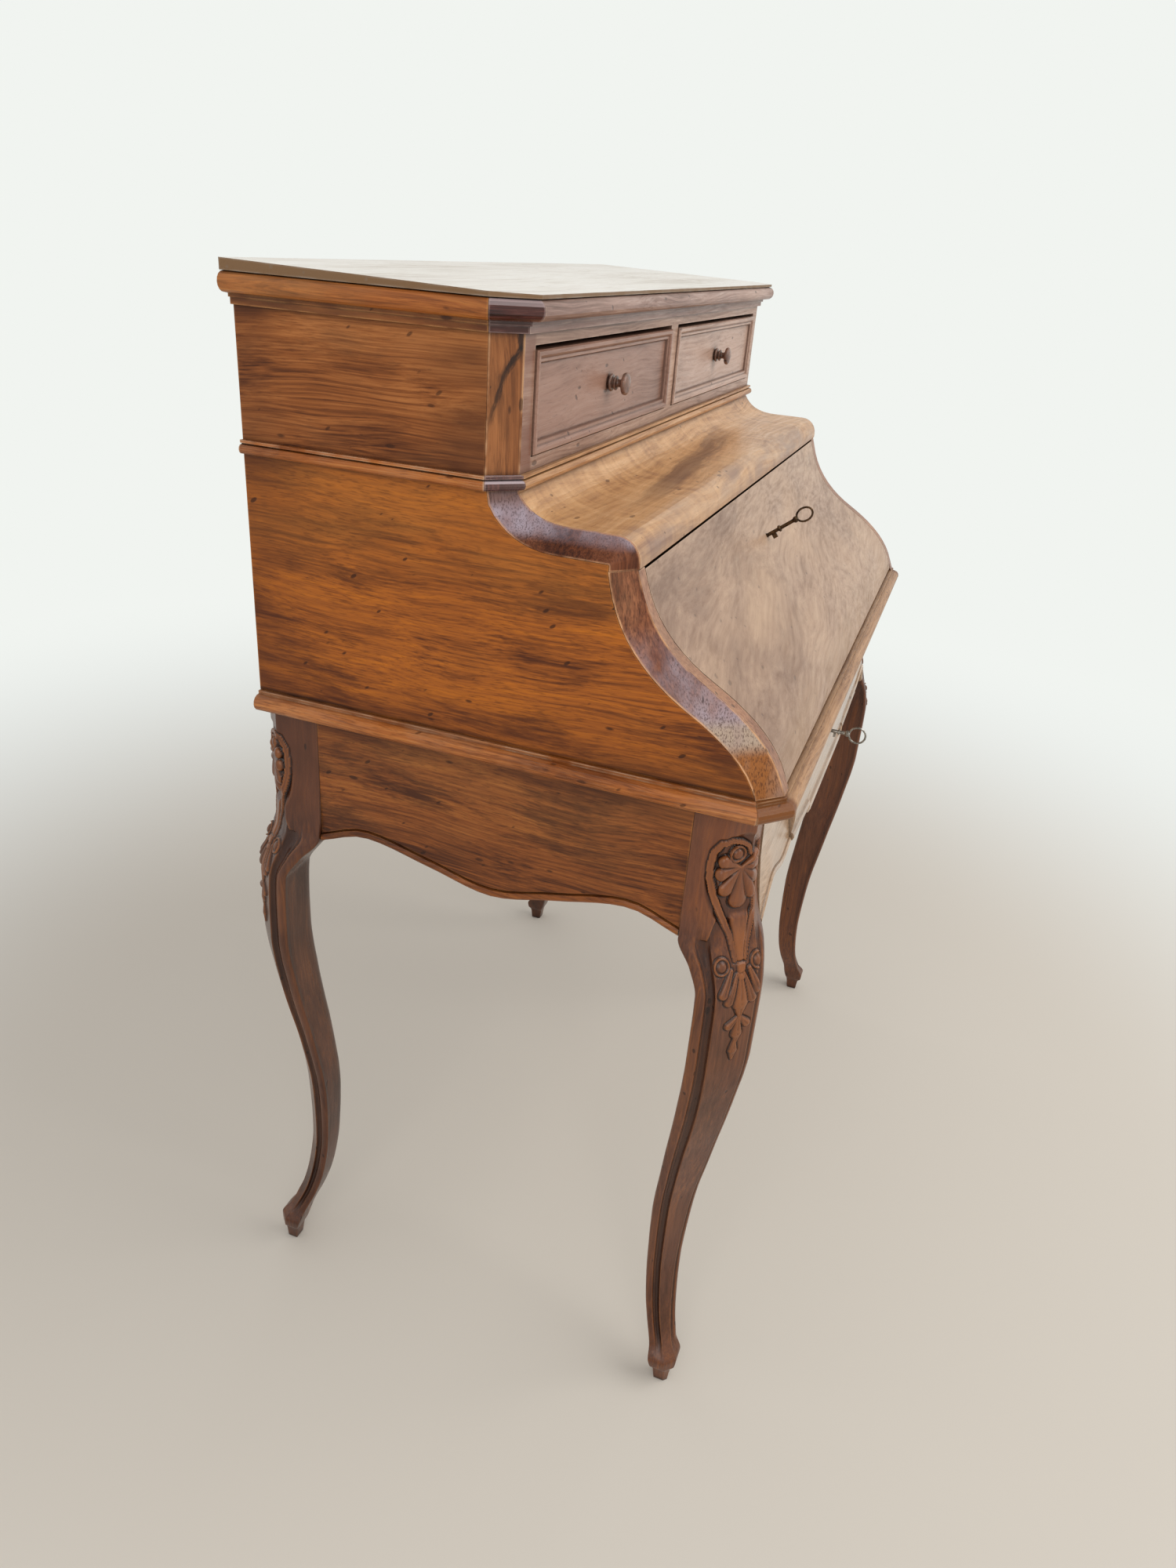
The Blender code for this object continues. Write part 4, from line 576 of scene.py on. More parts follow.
def old_wood(name, body, deep, light, worn, grain=ALONG_X, centre=(0.0, 0.0, 0.0), streak=(0.16, 0.0028),
             band=(0.34, 0.050), contrast=1.0, smear=0.45, ripple=0.0, sway=0.010, fade=0.30,
             gloss=(0.42, 0.10, 0.25), shine=0.30, wear=1.0, knocks=0.65, speckle=0.0, zones=(), veins=(),
             field=None, bloom=None, ends=None, edge=None, inner=None, relief=False):
    """Old cabinet wood, planed, waxed and handled for two centuries.

    Fine streaks and broad bands follow the grain, dark smears and short pores lie along it, light and
    hands have faded it in clouds, edges are rubbed pale and painted shade darkens the quirks. streak and
    band are the length and width of a streak and a band in metres; gloss is roughness, wax share and wax
    roughness.
    """
    woods = bpy.context.scene.desk_looks.woods
    material, tree, place = open_material(name)
    lie = {"Location": centre, "Rotation": tuple(math.radians(a) for a in grain)}
    axes = add_node(tree, "ShaderNodeSeparateXYZ", {0: place}).outputs
    flat = add_node(tree, "ShaderNodeNewGeometry").outputs["Normal"]
    swayed = swayed_place(tree, place, lie, sway)
    layers = {"bands": (True, band, 3.0, 0.55, 0.0), "fines": (True, streak, 4.0, 0.62, 0.0), **WOOD_LAYERS}
    if ripple:
        layers["curls"] = CURL_LAYER
    noises = wood_noises(tree, place, swayed, lie, layers)
    fines, clusters, pores = noises["fines"], noises["clusters"], noises["pores"]

    # Smears, pores and faded clouds come first.
    ragged = add_node(tree, "ShaderNodeMix", {0: 0.45, 2: clusters, 3: noises["smears"]})
    smeared = add_node(tree, "ShaderNodeMapRange", {
        "Value": ragged, "From Min": 0.51, "From Max": 0.63, "To Max": smear})
    pits = add_node(tree, "ShaderNodeMapRange", {
        "Value": pores, "From Min": 0.55, "From Max": 0.74, "To Max": 0.40})
    faded = add_node(tree, "ShaderNodeMapRange", {
        "Value": noises["clouds"], "From Min": 0.46, "From Max": 0.74, "To Max": fade})
    coats = [(smeared, linear(deep), "MIX"), (pits, linear(deep), "MIX"), (faded, linear(worn), "MIX")]
    coats += zone_coats(tree, axes, clusters, zones)
    coats += vein_coats(tree, swayed, veins)
    if field:
        coats += quirk_coats(tree, axes, field, deep)
    # A darker tone past a given distance to either side.
    if ends:
        start, stop, tone = ends
        out = add_node(tree, "ShaderNodeMath", {0: axes["X"]}, operation="ABSOLUTE")
        mask = add_node(tree, "ShaderNodeMapRange", {"Value": out, "From Min": start, "From Max": stop})
        coats.append((mask, linear(tone), "MIX"))
    # Dark specks, pores full of old wax, that show through the tones laid over the grain.
    if speckle:
        dotted = add_node(tree, "ShaderNodeMapRange", {
            "Value": pores, "From Min": 0.48, "From Max": 0.66, "To Max": speckle})
        strewn = add_node(tree, "ShaderNodeMapRange", {
            "Value": clusters, "From Min": 0.34, "From Max": 0.58, "To Min": 0.25})
        mask = add_node(tree, "ShaderNodeMath", {0: dotted, 1: strewn}, operation="MULTIPLY")
        coats.append((mask, linear(deep), "MIX"))
    coats += facing_coats(tree, flat, bloom, edge, inner)
    coats.append(rubbed_coat(tree, place, flat, woods.edge_wear * wear, worn))
    if relief:
        coats += carving_coats(tree, deep, light)
    # Painted shade darkens where two surfaces meet, through ambient occlusion; knocks are real dents,
    # darkened with the same tone.
    hollow = add_node(tree, "ShaderNodeAmbientOcclusion", {"Distance": SHADE_REACH}, samples=6)
    painted_crevice_shade_mask = add_node(tree, "ShaderNodeMapRange", {
        "Value": hollow.outputs["AO"], "From Min": 0.90, "From Max": 0.35, "To Max": woods.painted_crevice_shade})
    dented = knock_marks(tree, place, grain, centre, knocks)
    coats += [(mask, darker(deep, SHADE_AND_KNOCK_TONE), "MIX") for mask in (painted_crevice_shade_mask, dented)]

    colour = bare_tones(tree, noises, ripple, contrast, deep, body, light)
    for share, tone, laid in coats:
        colour = add_node(tree, "ShaderNodeMix", {
            0: share, 6: colour, 7: solid(tone)}, data_type="RGBA", blend_type=laid).outputs[2]

    # Faded wood has lost its shine; pores and knocks are pressed in.
    rough = add_node(tree, "ShaderNodeMapRange", {
        "Value": fines, "From Min": 0.3, "From Max": 0.7,
        "To Min": gloss[0] + 0.08, "To Max": gloss[0] - 0.06})
    duller = add_node(tree, "ShaderNodeMath", {0: faded, 1: 0.25, 2: rough}, operation="MULTIPLY_ADD")
    raised = add_node(tree, "ShaderNodeMath", {0: pits, 1: -1.2, 2: fines}, operation="MULTIPLY_ADD")
    knocked = add_node(tree, "ShaderNodeMath", {0: dented, 1: -2.5, 2: raised}, operation="MULTIPLY_ADD")
    skin = add_node(tree, "ShaderNodeBump", {"Strength": 0.35, "Distance": GRAIN_DEPTH, "Height": knocked})
    shader = add_node(tree, "ShaderNodeBsdfPrincipled", {
        "Base Color": colour, "Roughness": duller, "Normal": skin, "IOR": 1.5,
        "Specular IOR Level": shine, "Coat Weight": gloss[1], "Coat Roughness": gloss[2]})
    add_node(tree, "ShaderNodeOutputMaterial", {"Surface": shader})
    return material


def old_metal(name, bright, dull, metallic, rough, speck):
    """Hand-filed metal under old tarnish: bright where it is rubbed, dull and pitted elsewhere."""
    material, tree, place = open_material(name)
    clouds = add_node(tree, "ShaderNodeTexNoise", {
        "Vector": place, "Scale": 1 / speck, "Detail": 5.0, "Roughness": 0.65})
    tarnish = add_node(tree, "ShaderNodeMapRange", {
        "Value": clouds.outputs["Fac"], "From Min": 0.38, "From Max": 0.62})
    colour = add_node(tree, "ShaderNodeMix", {
        0: tarnish, 6: solid(linear(bright)), 7: solid(linear(dull))}, data_type="RGBA").outputs[2]
    dulled = add_node(tree, "ShaderNodeMath", {0: tarnish, 1: 0.22, 2: rough}, operation="MULTIPLY_ADD")
    pitted = add_node(tree, "ShaderNodeTexNoise", {"Vector": place, "Scale": 1 / PIT_SIZE, "Detail": 2.0})
    skin = add_node(tree, "ShaderNodeBump", {
        "Strength": 0.3, "Distance": PIT_DEPTH, "Height": pitted.outputs["Fac"]})
    shader = add_node(tree, "ShaderNodeBsdfPrincipled", {
        "Base Color": colour, "Metallic": metallic, "Roughness": dulled, "Normal": skin})
    add_node(tree, "ShaderNodeOutputMaterial", {"Surface": shader})
    return material


def dress(material, *nodes):
    """Gives CAD nodes a finish."""
    for node in nodes:
        for slot in frame["nodes"][node].material_slots:
            slot.material = material


def finish(nodes, name, *tones, **ways):
    """Gives CAD nodes an old wood of their own."""
    dress(old_wood(name, *tones, **ways), *nodes)


def both(*stems):
    """The left and right node of each stem."""
    return [stem + "_" + side for stem in stems for side in LEFT_RIGHT]


def plain_piece(name, mesh, material, body):
    """Puts a finished mesh in the scene and lets it ride on its body."""
    piece = bpy.data.objects.new(name, mesh)
    bpy.context.scene.collection.objects.link(piece)
    if material is not None:
        mesh.materials.clear()
        mesh.materials.append(material)
    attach(piece, body)
    return piece


def grown_mesh(name, host_mesh, tree, inputs):
    """Runs a node tree on a host mesh once and returns the result as a plain mesh."""
    host = bpy.data.objects.new(name + "_host", host_mesh)
    bpy.context.scene.collection.objects.link(host)
    modifier = host.modifiers.new(name, "NODES")
    modifier.node_group = tree
    sockets = {s.name: s.identifier for s in tree.interface.items_tree if s.in_out == "INPUT"}
    for label, value in inputs.items():
        modifier[sockets[label]] = value
    graph = bpy.context.evaluated_depsgraph_get()
    mesh = bpy.data.meshes.new_from_object(host.evaluated_get(graph))
    mesh.name = name
    bpy.data.objects.remove(host)
    return mesh


def open_tree(name, sizes):
    """A node tree with a geometry in and out and one named input for each size."""
    tree = bpy.data.node_groups.new(name, "GeometryNodeTree")
    tree.interface.new_socket("Geometry", in_out="INPUT", socket_type="NodeSocketGeometry")
    for label, kind in sizes:
        tree.interface.new_socket(label, in_out="INPUT", socket_type="NodeSocket" + kind)
    tree.interface.new_socket("Geometry", in_out="OUTPUT", socket_type="NodeSocketGeometry")
    return tree, tree.nodes.new("NodeGroupInput")


def close_tree(tree, given, shape):
    """Ends a node tree: real geometry with its finish, out of the group."""
    real = add_node(tree, "GeometryNodeRealizeInstances", {0: shape})
    finished = add_node(tree, "GeometryNodeSetMaterial", {
        "Geometry": real, "Material": given.outputs["Finish"]})
    add_node(tree, "NodeGroupOutput", {0: finished})


def turned_tree(outline):
    """A turned piece: a circle carried along -Y, its radius following the outline."""
    tree, given = open_tree("turned_knob", (
        ("Radius", "Float"), ("Reach", "Float"), ("Sides", "Int"), ("Finish", "Material")))
    back = add_node(tree, "ShaderNodeMath", {0: given.outputs["Reach"], 1: -1.0}, operation="MULTIPLY")
    end = add_node(tree, "ShaderNodeCombineXYZ", {"Y": back})
    axis = add_node(tree, "GeometryNodeCurvePrimitiveLine", {"End": end})
    steps = add_node(tree, "GeometryNodeResampleCurve", {"Curve": axis, "Count": KNOB_RINGS})
    share = add_node(tree, "GeometryNodeSplineParameter")
    shape = add_node(tree, "ShaderNodeFloatCurve", {"Value": share.outputs["Factor"]})
    curve = shape.mapping.curves[0]
    curve.points[0].location = outline[0]
    curve.points[1].location = outline[-1]
    for place in outline[1:-1]:
        curve.points.new(*place)
    shape.mapping.update()
    wide = add_node(tree, "ShaderNodeMath", {0: shape, 1: given.outputs["Radius"]}, operation="MULTIPLY")
    circle = add_node(tree, "GeometryNodeCurvePrimitiveCircle", {
        "Resolution": given.outputs["Sides"], "Radius": 1.0})
    skin = add_node(tree, "GeometryNodeCurveToMesh", {
        "Curve": steps, "Profile Curve": circle.outputs["Curve"],
        "Scale": wide, "Fill Caps": True})
    smooth = add_node(tree, "GeometryNodeSetShadeSmooth", {"Geometry": skin, "Shade Smooth": True})
    close_tree(tree, given, smooth)
    return tree


def screw_tree():
    """Slotted screw heads on the host's points, each turned its own way."""
    tree, given = open_tree("lock_screws", (
        ("Head radius", "Float"), ("Proud", "Float"), ("Facing", "Vector"), ("Finish", "Material")))
    radius = given.outputs["Head radius"]
    top, long_cut, thin_cut = (
        add_node(tree, "ShaderNodeMath", {0: radius, 1: share}, operation="MULTIPLY")
        for share in (SCREW_TOP, *SCREW_SLOT))
    head = add_node(tree, "GeometryNodeMeshCone", {
        "Vertices": SCREW_SIDES, "Radius Top": top, "Radius Bottom": radius,
        "Depth": given.outputs["Proud"]})
    cut_size = add_node(tree, "ShaderNodeCombineXYZ", {
        "X": long_cut, "Y": thin_cut, "Z": given.outputs["Proud"]})
    cut = add_node(tree, "GeometryNodeMeshCube", {"Size": cut_size})
    lift = add_node(tree, "ShaderNodeCombineXYZ", {"Z": given.outputs["Proud"]})
    raised = add_node(tree, "GeometryNodeTransform", {"Geometry": cut, "Translation": lift})
    slotted = add_node(tree, "GeometryNodeMeshBoolean", {
        "Mesh 1": head, "Mesh 2": raised}, operation="DIFFERENCE")
    stand = add_node(tree, "FunctionNodeAlignRotationToVector", {
        "Vector": given.outputs["Facing"]}, axis="Z")
    spots = add_node(tree, "GeometryNodeInstanceOnPoints", {
        "Points": given.outputs["Geometry"], "Instance": slotted, "Rotation": stand})
    any_turn = add_node(tree, "FunctionNodeRandomValue", {
        "Min": (0.0, 0.0, 0.0), "Max": SCREW_TURN, "Seed": SCREW_SEED}, data_type="FLOAT_VECTOR")
    turned = add_node(tree, "GeometryNodeRotateInstances", {
        "Instances": spots, "Rotation": any_turn, "Local Space": True})
    close_tree(tree, given, turned)
    return tree


def leg_corners(node, side, outward):
    """Five corners of a leg's section at each ring of its CAD node, seen from above.

    Returns the heights and, for each, inner and outer place across, inner and outer place
    front to back, and the sum of both places on the canted face.
    """
    mesh = frame["nodes"][node].data
    points = np.array([v.co for v in mesh.vertices])
    points[:, 0] *= side
    points[:, 1] *= outward
    faces = points[np.array([p.vertices for p in mesh.polygons])]
    heights = np.unique(np.round(points[:, 2], 5))
    rows = []
    for height in heights:
        level = np.clip(height, heights[0] + LEVEL_INSET, heights[-1] - LEVEL_INSET)
        cut = []
        for first, second in ((0, 1), (1, 2), (2, 0)):
            low, high = faces[:, first], faces[:, second]
            across = (low[:, 2] - level) * (high[:, 2] - level) < 0
            share = (level - low[across, 2]) / (high[across, 2] - low[across, 2])
            cut.append(low[across] + share[:, None] * (high[across] - low[across]))
        at_level = points[np.abs(points[:, 2] - level) < ON_LEVEL]
        cut = np.concatenate(cut + [at_level])[:, :2]
        (low_x, low_y), (high_x, high_y) = cut.min(axis=0), cut.max(axis=0)
        rows.append((low_x, high_x, low_y, high_y, cut.sum(axis=1).max()))
    return heights, np.array(rows)


def steady_rows(heights, rows, wanted):
    """Reads rows at new heights on a smooth curve that never overshoots."""
    steps = np.diff(heights)
    slopes = np.diff(rows, axis=0) / steps[:, None]
    product = slopes[:-1] * slopes[1:]
    total = slopes[:-1] + slopes[1:]
    tangents = np.zeros_like(rows)
    tangents[1:-1] = np.where(product > 0, 2 * product / np.where(product > 0, total, 1.0), 0.0)
    tangents[0] = slopes[0]
    tangents[-1] = slopes[-1]
    at = np.clip(np.searchsorted(heights, wanted) - 1, 0, len(steps) - 1)
    t = ((wanted - heights[at]) / steps[at])[:, None]
    h = steps[at][:, None]
    return ((1 + 2 * t) * (1 - t) ** 2 * rows[at] + t * (1 - t) ** 2 * h * tangents[at]
            + t * t * (3 - 2 * t) * rows[at + 1] + t * t * (t - 1) * h * tangents[at + 1])


def fade_between(values, start, stop):
    """0 before start, 1 past stop, smooth between; start may be the larger."""
    t = np.clip((values - start) / (stop - start), 0.0, 1.0)
    return t * t * (3 - 2 * t)


def ribbon_share(p, z, path):
    """Distance from a ribbon's middle line as a share of its half width, and that half width."""
    share = np.full(p.shape, FAR_AWAY)
    half = np.ones(p.shape)
    for (p0, z0, w0), (p1, z1, w1) in zip(path[:-1], path[1:]):
        run = (p1 - p0) ** 2 + (z1 - z0) ** 2
        t = np.clip(((p - p0) * (p1 - p0) + (z - z0) * (z1 - z0)) / run, 0.0, 1.0)
        far = np.hypot(p - p0 - t * (p1 - p0), z - z0 - t * (z1 - z0))
        wide = w0 + t * (w1 - w0)
        half = np.where(far / wide < share, wide, half)
        share = np.minimum(share, far / wide)
    return share, half


def leaf_share(p, z, root, end, root_half, end_half):
    """Distance from a leaf's middle line as a share of its half width, that width and the way along."""
    run_p, run_z = end[0] - root[0], end[1] - root[1]
    length = math.hypot(run_p, run_z)
    straight = 1 - end_half / length
    t = np.clip(((p - root[0]) * run_p + (z - root[1]) * run_z) / length ** 2, 0.0, straight)
    far = np.hypot(p - root[0] - t * run_p, z - root[1] - t * run_z)
    half = root_half + t / straight * (end_half - root_half)
    return far / half, half, t / straight


def dome(share):
    """Rounded top over a share that runs from 0 in the middle to 1 at the rim."""
    return np.sqrt(np.clip(1 - share ** 2, 0.0, 1.0))


def knee_relief(p, z, carving):
    """Height of the knee's carving in millimetres over its skin, and how far it is rubbed bright."""
    scroll = carving.scroll_height / MM
    shell = carving.shell_height / MM
    husk = carving.husk_height / MM
    centre_p, centre_z, half_p, half_z = SUNK_FIELD
    inside = np.hypot((p - centre_p) / half_p, (z - centre_z) / half_z)
    ground = -SUNK_DEPTH * (1 - fade_between(inside, 0.90, 1.02))
    raised = np.full(p.shape, FAR_BELOW)
    rubbed = np.zeros(p.shape)
    beside = np.full(p.shape, FAR_AWAY)
    for end_p, end_z, end_half in SHELL_LOBES:
        share, half, along = leaf_share(p, z, SHELL_ROOT, (end_p, end_z), 1.0, end_half)
        vein = LOBE_VEIN[0] * np.exp(-(share / LOBE_VEIN[1]) ** 2) * along
        swell = dome(share) * (LOBE_ROOT + (1 - LOBE_ROOT) * along)
        lobe = (shell + SUNK_DEPTH) * swell - vein - SUNK_DEPTH
        raised = np.maximum(raised, np.where(share < 1, lobe, FAR_BELOW))
        beside = np.minimum(beside, (share - 1) * half)
        rubbed = np.maximum(rubbed, SHELL_RUBBED * (1 - fade_between(share, 0.55, 0.85)) * along)
    top_p, top_z, top_half = STEM_TOP
    end_p, end_z, end_half = STEM_END
    down = np.clip((top_z - z) / (top_z - end_z), 0.0, 1.0)
    across = np.abs(p - top_p - down * (end_p - top_p)) / (top_half + down * (end_half - top_half))
    reach = fade_between(z, end_z - 2, end_z + 2) * fade_between(z, top_z + 4, top_z - 5)
    notch = NOTCH_DEPTH * np.exp(-((z - STEM_NOTCH) / 1.2) ** 2)
    stem = STEM_HEIGHT * (1 - fade_between(across, 0.75, 1.0)) - notch
    stem = (stem + SUNK_DEPTH) * reach - SUNK_DEPTH
    raised = np.where((across < 1) & (reach > 0.02), np.maximum(raised, stem), raised)
    shaded = fade_between(z, top_z + 2, top_z - 26)
    rubbed = np.maximum(rubbed, (1 - fade_between(across, 0.80, 1.0)) * reach * shaded)
    for path in (SIDE_RIBBON, FRONT_RIBBON):
        share, half = ribbon_share(p, z, path)
        ribbon = scroll * (RIBBON_HOLLOW + (1 - RIBBON_HOLLOW) * np.clip(share, 0, 1) ** 3)
        raised = np.where(share < 1, np.maximum(raised, ribbon), raised)
        rubbed = np.maximum(rubbed, RIBBON_RUBBED * (share < 1))
        beside = np.minimum(beside, (share - 1) * half)
    for root, end, root_half, end_half, worn in LEAVES:
        share, half, along = leaf_share(p, z, root, end, root_half, end_half)
        vein = LEAF_VEIN[0] * np.exp(-(share / LEAF_VEIN[1]) ** 2)
        leaf = husk * dome(share) * (LEAF_ROOT + (1 - LEAF_ROOT) * along) - vein
        raised = np.maximum(raised, np.where(share < 1, leaf, FAR_BELOW))
        rubbed = np.maximum(rubbed, np.where(share < 0.9, worn, 0.0))
        beside = np.minimum(beside, (share - 1) * half)
    for centre_p, centre_z, radius in (SCROLL_EYE, *CURLS):
        share = np.hypot(p - centre_p, z - centre_z) / radius
        boss = husk * dome(share / EYE_BOSS)
        rim_height, rim_at, rim_width = EYE_RIM
        rim = rim_height * husk * np.exp(-((share - rim_at) / rim_width) ** 2)
        raised = np.where(share < 1, np.maximum(boss, rim) - EYE_SUNK, raised)
        beside = np.minimum(beside, (share - 1) * radius)
    # The block ends in a tongue over the knee's side edge, with a cut beneath it.
    (near_p, near_z), (far_p, far_z) = TONGUE
    lip = np.interp(-p, (-near_p, -far_p), (near_z, far_z)) - z
    spread = fade_between(p, near_p + 8, near_p - 2) * fade_between(p, far_p - 12, far_p)
    ground = ground - TONGUE_CUT * fade_between(lip, 0, 2.5) * (1 - fade_between(lip, 6, 40)) * spread
    # The carver's outline cut runs round everything that stands up.
    cut_depth, cut_at, cut_width = OUTLINE_CUT
    outline = cut_depth * np.exp(-((beside - cut_at) / cut_width) ** 2)
    return np.maximum(raised, ground) - outline, rubbed


def soft_mean(values, passes):
    """Values averaged with their neighbours round and up the leg."""
    for _ in range(passes):
        values = (values + np.roll(values, 1, axis=1) + np.roll(values, -1, axis=1)) / 3
        padded = np.concatenate([values[:1], values, values[-1:]])
        values = (padded[:-2] + padded[1:-1] + padded[2:]) / 3
    return values


def carved_leg(node, side, outward, carving):
    """A dense leg on the CAD leg's own sections, with edge moulding and knee carving."""
    heights, rows = leg_corners(node, side, outward)
    levels = np.concatenate([
        np.arange(0.0, FOOT_BELOW, FOOT_STEP),
        np.arange(FOOT_BELOW, CARVED_FROM, PLAIN_STEP),
        np.arange(CARVED_FROM, heights[-1], CARVED_STEP),
        heights[-1:]])
    ins_x, out_x, ins_y, out_y, cant = steady_rows(heights, rows, levels).T
    corners = np.stack([
        np.stack([ins_x, ins_y], 1), np.stack([out_x, ins_y], 1), np.stack([out_x, cant - out_x], 1),
        np.stack([cant - out_y, out_y], 1), np.stack([ins_x, out_y], 1)], 1)
    ring = []
    walk = []
    lengths = np.linalg.norm(np.roll(corners, -1, axis=1) - corners, axis=2)
    to_middle = lengths[:, 0] + lengths[:, 1] + lengths[:, 2] / 2
    so_far = np.zeros(len(levels))
    edge = []
    for i, count in enumerate(RING_STEPS):
        for k in range(count):
            t = k / count
            ring.append(corners[:, i] * (1 - t) + corners[:, (i + 1) % 5] * t)
            walk.append(so_far + t * lengths[:, i] - to_middle)
            edge.append({1: t, 3: 1 - t}.get(i, -1.0))
        so_far = so_far + lengths[:, i]
    ring = np.stack(ring, 1)
    sharp = ring
    for _ in range(RING_EASINGS):
        ring = 0.25 * np.roll(ring, 1, axis=1) + 0.5 * ring + 0.25 * np.roll(ring, -1, axis=1)
    # The inner edges stay sharp where the block meets the aprons.
    first, last = RING_STEPS[0] + RING_STEPS[1] // 2, sum(RING_STEPS[:3]) + RING_STEPS[3] // 2
    inner = np.ones(ring.shape[1])
    inner[first:last] = 0.0
    kept = inner[None, :, None] * fade_between(levels, *BLOCK_ENDS[::-1])[:, None, None]
    ring = ring * (1 - kept) + sharp * kept
    p = np.stack(walk, 1) / MM
    share = np.broadcast_to(np.array(edge), p.shape)
    z = np.broadcast_to(levels[:, None], p.shape)
    moulded = fade_between(z, *MOULDING_STARTS) * fade_between(z, *FOOT_ENDS_MOULDING)
    bead = dome(np.clip(2 * share / EDGE_BEAD_SHARE - 1, -1, 1)) * carving.bead_height
    hollow = np.sin(np.pi * np.clip((share - EDGE_BEAD_SHARE) / (1 - EDGE_BEAD_SHARE), 0, 1))
    quirk = QUIRK_DEPTH * np.exp(-((share - EDGE_BEAD_SHARE) / QUIRK_WIDTH) ** 2)
    moulding = moulded * np.where(share >= 0, bead - carving.hollow_depth * hollow - quirk, 0.0) / MM
    carved, rubbed = knee_relief(p, z / MM, carving)
    relief = carved + moulding
    skin = np.concatenate([ring, z[..., None]], 2)
    round_way = np.roll(skin, -1, axis=1) - np.roll(skin, 1, axis=1)
    up_way = np.gradient(skin, axis=0)
    normal = np.cross(round_way, up_way)
    normal /= np.linalg.norm(normal, axis=2, keepdims=True)
    normal[..., 2] *= SLOPE_SHARE
    skin = skin + normal * relief[..., None] * MM
    skin[0, :, 2] = heights[0]
    skin[-1, :, 2] = heights[-1]
    skin[..., 0] *= side
    skin[..., 1] *= outward
    told = {"carving": relief, "crease": soft_mean(relief, CREASE_EASINGS) - relief, "rubbed": rubbed}
    return leg_mesh(node, skin, told, side * outward < 0)


def leg_mesh(name, skin, told, mirrored):
    """Closed mesh of a leg's rings, with what is told of the carving kept at each point."""
    rings, count = skin.shape[:2]
    index = np.arange(rings * count).reshape(rings, count)
    after = np.roll(index, -1, axis=1)
    quads = np.stack([index[:-1], after[:-1], after[1:], index[1:]], 2).reshape(-1, 4)
    foot, head = rings * count, rings * count + 1
    caps = [(foot, after[0, k], index[0, k]) for k in range(count)]
    caps += [(head, index[-1, k], after[-1, k]) for k in range(count)]
    faces = [tuple(q) for q in quads] + caps
    if mirrored:
        faces = [f[::-1] for f in faces]
    points = np.concatenate([skin.reshape(-1, 3), skin[:1].mean(axis=1), skin[-1:].mean(axis=1)])
    mesh = bpy.data.meshes.new(name)
    mesh.from_pydata(points.tolist(), [], [tuple(int(i) for i in f) for f in faces])
    mesh.shade_smooth()
    for label, values in told.items():
        kept = mesh.attributes.new(label, "FLOAT", "POINT")
        kept.data.foreach_set("value", np.concatenate([values.ravel(), [0.0, 0.0]]).astype(np.float32))
    mesh.update()
    return mesh


def plate_screws(node):
    """Four screw places on the inner face of a lock's plate, and the way that face looks."""
    mesh = frame["nodes"][node].data
    sums = {}
    for face in mesh.polygons:
        if face.normal.y > BACKWARD:
            key = tuple(round(c, 2) for c in face.normal)
            sums[key] = sums.get(key, 0.0) + face.area
    facing = Vector(max(sums, key=sums.get)).normalized()
    up = Vector((1.0, 0.0, 0.0)).cross(facing)
    points = np.array([v.co for v in mesh.vertices])
    deep = (points @ np.array(facing)).max()
    rises = points @ np.array(up)
    wide = points[:, 0].max() - SCREW_INSET
    low, high = rises.min() + SCREW_INSET, rises.max() - SCREW_INSET
    places = [facing * deep + up * rise + Vector((x, 0.0, 0.0))
              for rise in (low, high) for x in (-wide, wide)]
    return places, facing


